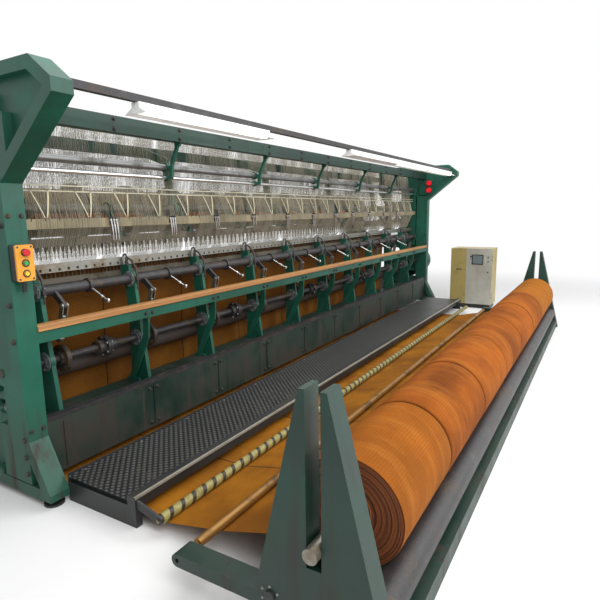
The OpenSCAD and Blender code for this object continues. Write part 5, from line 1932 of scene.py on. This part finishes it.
@dataclass
class StationParts:
    """Corner screws, cover seam and button collars of the button station."""

    x: float = -3.615
    face: float = -0.352
    z: float = 1.357
    buttons: tuple[float, ...] = (1.412, 1.357, 1.302)

    def build(self) -> bpy.types.Object:
        """Set the screws and turn the collars.

        Returns:
            The piece.
        """
        screw = lathe([[0.0, 0.0], [0.0, 0.0058], [-0.0018, 0.0055], [-0.0026, 0.0042], [-0.0014, 0.0]],
                      (0, 0, 0), "Y", 16)
        corners = screw.copies(np.array([[self.x + a, self.face, self.z + c] for a in (-0.037, 0.037)
                                         for c in (-0.084, 0.084)]))
        collar = lathe([[0.0, 0.0155], [0.0, 0.0205], [-0.003, 0.0205], [-0.0045, 0.0190], [-0.0045, 0.0155]],
                       (0, 0, 0), "Y", 32, ring=True)
        collars = collar.copies(np.array([[self.x, self.face, z] for z in self.buttons]))
        return piece("station_parts", [(joined([corners, collars]), PALETTE.of(Finish.SCREEN))],
                     "machine")


@dataclass
class CabinetParts:
    """What stands on the front of the cabinet: screen glass, knobs and the plate of the left panel."""

    face: float = 3.392

    def knob(self, y: float, z: float, r: float) -> Shape:
        """A round knob with a waist on the cabinet's face.

        Args:
            y: place across the face.
            z: height.
            r: radius.

        Returns:
            The knob.
        """
        f = self.face
        return lathe([[f, 0.0], [f, r * 1.15], [f - 0.003, r * 1.15], [f - 0.004, r], [f - 0.014, r * 0.92],
                      [f - 0.016, r * 0.8], [f - 0.016, 0.0]], (0, y, z), "X", 24)

    def build(self) -> list[bpy.types.Object]:
        """Make what rides on the door and what stays on the left panel.

        Returns:
            The pieces.
        """
        f = self.face
        glass = block((f - 0.0088, -1.262, 0.733), (f - 0.0079, -1.108, 0.867), 0.0002)
        on_door = ((-1.078, 0.846, 0.010), (-1.350, 0.840, 0.009), (-1.350, 0.769, 0.009),
                   (-1.350, 0.599, 0.008))
        door = piece("door_parts", [
            (glass, PALETTE.special("screen_glass", Plain(tint("6f7a7c"), 0.08, 0.1, coat=0.6))),
            (joined([self.knob(*place) for place in on_door]), PALETTE.of(Finish.SCREEN))],
            "cabinet_door")
        plate = block((f - 0.003, -0.953, 0.760), (f - 0.0002, -0.880, 0.858), 0.001)
        marks = joined([self.knob(y, 0.635, 0.009) for y in (-0.927, -0.895, -0.863)])
        left = piece("left_panel_parts", [(plate, PALETTE.of(Finish.BEIGE)),
                                          (marks, PALETTE.of(Finish.SCREEN))],
                     "machine")
        return [door, left]


@dataclass
class WalkwayEdge:
    """A worn bright strip on the outer rail and the screws that hold the tread plate."""

    x0: float = -3.546
    x1: float = 3.250
    y: float = -0.9752
    top: float = 0.168
    tread: float = 0.150

    def build(self) -> bpy.types.Object:
        """Carry the strip's outline along x and turn the screws.

        Returns:
            The piece.
        """
        y, t = self.y, self.top
        strip = plate([[y, t - 0.012], [y - 0.0012, t - 0.011], [y - 0.0012, t + 0.0006],
                       [y + 0.014, t + 0.0008],
                       [y + 0.014, t + 0.0002], [y, t]], self.x0, self.x1, 0.001)
        screw = lathe([[0.0, 0.009], [0.0012, 0.009], [0.0026, 0.006], [0.0028, 0.0]], (0, 0, 0), "Z", 14)
        heads = screw.copies(np.array([[x, v, self.tread] for x in np.arange(-3.45, 3.2, 0.42)
                                       for v in (-0.895, -0.455)]))
        pale = PALETTE.special("worn_strip", BareMetal(tint("a39f92"), tint("3b3427"), 0.6, 0.4, 0.35))
        return piece("walkway_edge", [(strip, pale), (heads, PALETTE.of(Finish.STEEL))],
                     "machine")


@dataclass
class StandParts:
    """Bolts and drum bearing caps of the batching stands."""

    near_face: float = -3.770
    drums: tuple[float, ...] = (-1.965, -2.345)
    drum_z: float = 0.184

    def build(self) -> bpy.types.Object:
        """Turn the caps and set the bolts.

        Returns:
            The piece.
        """
        f = self.near_face
        cap = lathe([[0.0, 0.0245], [0.0, 0.050], [-0.006, 0.050], [-0.009, 0.046],
                     [-0.009, 0.030], [-0.0095, 0.0245]],
                    (0, 0, 0), "X", 36, ring=True)
        made = [cap.moved((f, y, self.drum_z)) for y in self.drums]
        bolts = [ring_bolts(f - 0.009, (y, self.drum_z), 0.039, 6, 0.010, -1) for y in self.drums]
        return piece("stand_parts", [(joined(made), PALETTE.of(Finish.CAST)),
                                     (joined(bolts), PALETTE.of(Finish.STEEL))],
                     "machine")


# Studio


@dataclass
class Studio:
    """Camera, soft lamps, pale floor and white surroundings."""

    eye: tuple[float, float, float] = (-5.174, -2.460, 1.6)
    yaw: float = 30.83
    pitch: float = 9.75
    roll: float = -0.83
    lens: float = 30.78
    floor_tone: float = 0.80
    ambient: float = 0.38

    def camera(self) -> None:
        """Set the camera at the place from which the machine is seen."""
        yaw, pitch, roll = (math.radians(v) for v in (self.yaw, self.pitch, self.roll))
        forward = np.array([math.cos(pitch) * math.cos(yaw), math.cos(pitch) * math.sin(yaw),
                            -math.sin(pitch)])
        right = np.array([math.sin(yaw), -math.cos(yaw), 0.0])
        up = np.cross(right, forward)
        r = math.cos(roll) * right + math.sin(roll) * up
        u = -math.sin(roll) * right + math.cos(roll) * up
        data = bpy.data.cameras.new("camera")
        data.lens, data.sensor_width, data.sensor_fit = self.lens, 36.0, "HORIZONTAL"
        data.clip_start, data.clip_end = 0.05, 100.0
        camera = bpy.data.objects.new("camera", data)
        matrix = Matrix([[r[i], u[i], -forward[i], self.eye[i]] for i in range(3)] + [[0, 0, 0, 1]])
        camera.matrix_world = matrix
        bpy.context.scene.collection.objects.link(camera)
        bpy.context.scene.camera = camera

    def lamp(self, name: str, place: Sequence[float], target: Sequence[float], size: float,
             watts: float) -> None:
        """One square soft lamp that faces a target.

        Args:
            name: of the lamp.
            place: its middle.
            target: the point that it faces.
            size: length of its side.
            watts: power.
        """
        data = bpy.data.lights.new(name, "AREA")
        data.shape, data.size, data.energy = "SQUARE", size, watts
        obj = bpy.data.objects.new(name, data)
        back = np.array(place, float) - np.array(target, float)
        facing = Vector(back).to_track_quat("Z", "Y").to_matrix().to_4x4()
        obj.matrix_world = Matrix.Translation(place) @ facing
        bpy.context.scene.collection.objects.link(obj)

    def build(self) -> None:
        """Set up camera, lamps, world and floor."""
        self.camera()
        self.lamp("key", (-5.5, -6.0, 5.5), (0.0, -0.3, 0.8), 5.0, 520)
        self.lamp("fill", (3.5, -7.5, 4.5), (0.5, -0.5, 0.8), 6.0, 330)
        self.lamp("top", (0.0, -1.5, 6.5), (0.0, -0.6, 0.5), 7.0, 350)
        world = bpy.data.worlds.new("surroundings")
        bpy.context.scene.world = world
        world.use_nodes = True
        sky = Board(world.node_tree)
        light, white = (sky.node("ShaderNodeBackground", {}, {"Color": (1.0, 1.0, 1.0), "Strength": strength})
                        for strength in (self.ambient, 1.0))
        seen = (sky.light_path("Is Camera Ray") + sky.light_path("Is Glossy Ray")
                + sky.light_path("Is Transmission Ray"))
        sky.end("ShaderNodeOutputWorld", sky.node("ShaderNodeMixShader", {}, {0: seen, 1: light, 2: white}))
        mesh = bpy.data.meshes.new("floor")
        mesh.from_pydata([(-60, -60, 0), (60, -60, 0), (60, 60, 0), (-60, 60, 0)], [], [(0, 1, 2, 3)])
        board = Surface("floor")
        x, y, _ = board.axes(board.place())
        away = ((x * x + y * y) ** 0.5).ramp(4.5, 9.5) * board.light_path("Is Camera Ray")
        glow = board.node("ShaderNodeEmission", {}, {"Color": (1.0, 1.0, 1.0), "Strength": 1.0})
        mixed = board.node("ShaderNodeMixShader", {}, {0: away, 1: board.skin, 2: glow})
        board.feed(board.out.inputs[0], mixed)
        mesh.materials.append(board.set(Base_Color=(self.floor_tone,) * 3, Roughness=0.75))
        floor = bpy.data.objects.new("floor", mesh)
        floor.location.z = -0.0005
        bpy.context.scene.collection.objects.link(floor)
        bpy.context.scene.view_settings.view_transform = "Standard"


def dress_solids() -> None:
    """Give every solid that stays in view the finish of its slot."""
    finishes = {f.value: f for f in Finish}
    dull = BareMetal(tint("6b665a"), tint("33270f"), 0.9, 0.6, 0.35)
    special = {"walkway_rails": Paint(tint("26282a"), tint("1a1c1d"), dust=0.5, worn=0.8),
               "cam_discs": OilySteel(linty=0.8),
               "tension_rails": Paint(tint("c9c5b0"), tint("a39d84"), dust=0.0, worn=0.7),
               "bed_beam": Paint(tint("0a3329"), tint("061f19"), dust=1.3, worn=1.3),
               "yarn_guide_plate": Paint(tint("968a6b"), tint("6f6449"), dust=0.0, worn=0.9),
               "yarn_tubes": BareMetal(tint("8c8e8d"), tint("40382a"), 0.7, 0.3),
               "guide_bar_front": dull, "guide_bar_back": dull, "needle_bar": dull,
               "guide_hangers": Paint(tint("0c4637"), tint("08332a"), worn=1.2),
               "swing_shaft": BareMetal(tint("77756d"), tint("40301a"), 0.9, 0.4)}
    for entry in frame["record"]["subparts"]:
        node, slot = entry["node"], entry["material_slot"]
        if node in special:
            material = PALETTE.special(node, special[node])
        else:
            material = PALETTE.of(finishes[slot])
        mesh = frame["nodes"][node].data
        mesh.materials.clear()
        mesh.materials.append(material)


def main() -> None:
    """Build the pieces in order and report each."""
    logging.basicConfig(level=logging.INFO, format="%(name)s %(message)s")
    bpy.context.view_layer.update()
    dress_solids()
    for entry in frame["record"]["subparts"]:
        LOG.info("%s: solid in slot %s", entry["node"], entry["material_slot"])
    groups = (NetWeb(), ClothRoll(), WarpYarns(), YarnPackages(), WarpBeam("upper", 1.62),
              WarpBeam("lower", 0.70), HandRail(), Fasteners(), Bearings(), ShaftParts(), LiftRods(),
              LeverClusters(), YarnBundles(), Lamps(), StationParts(), CabinetParts(), WalkwayEdge(),
              StandParts())
    for group in groups:
        made = group.build()
        for obj in made if isinstance(made, list) else [made]:
            LOG.info("%s: %d points, %d polygons", obj.name, len(obj.data.vertices), len(obj.data.polygons))
    Studio().build()


if __name__ == "__main__":
    main()
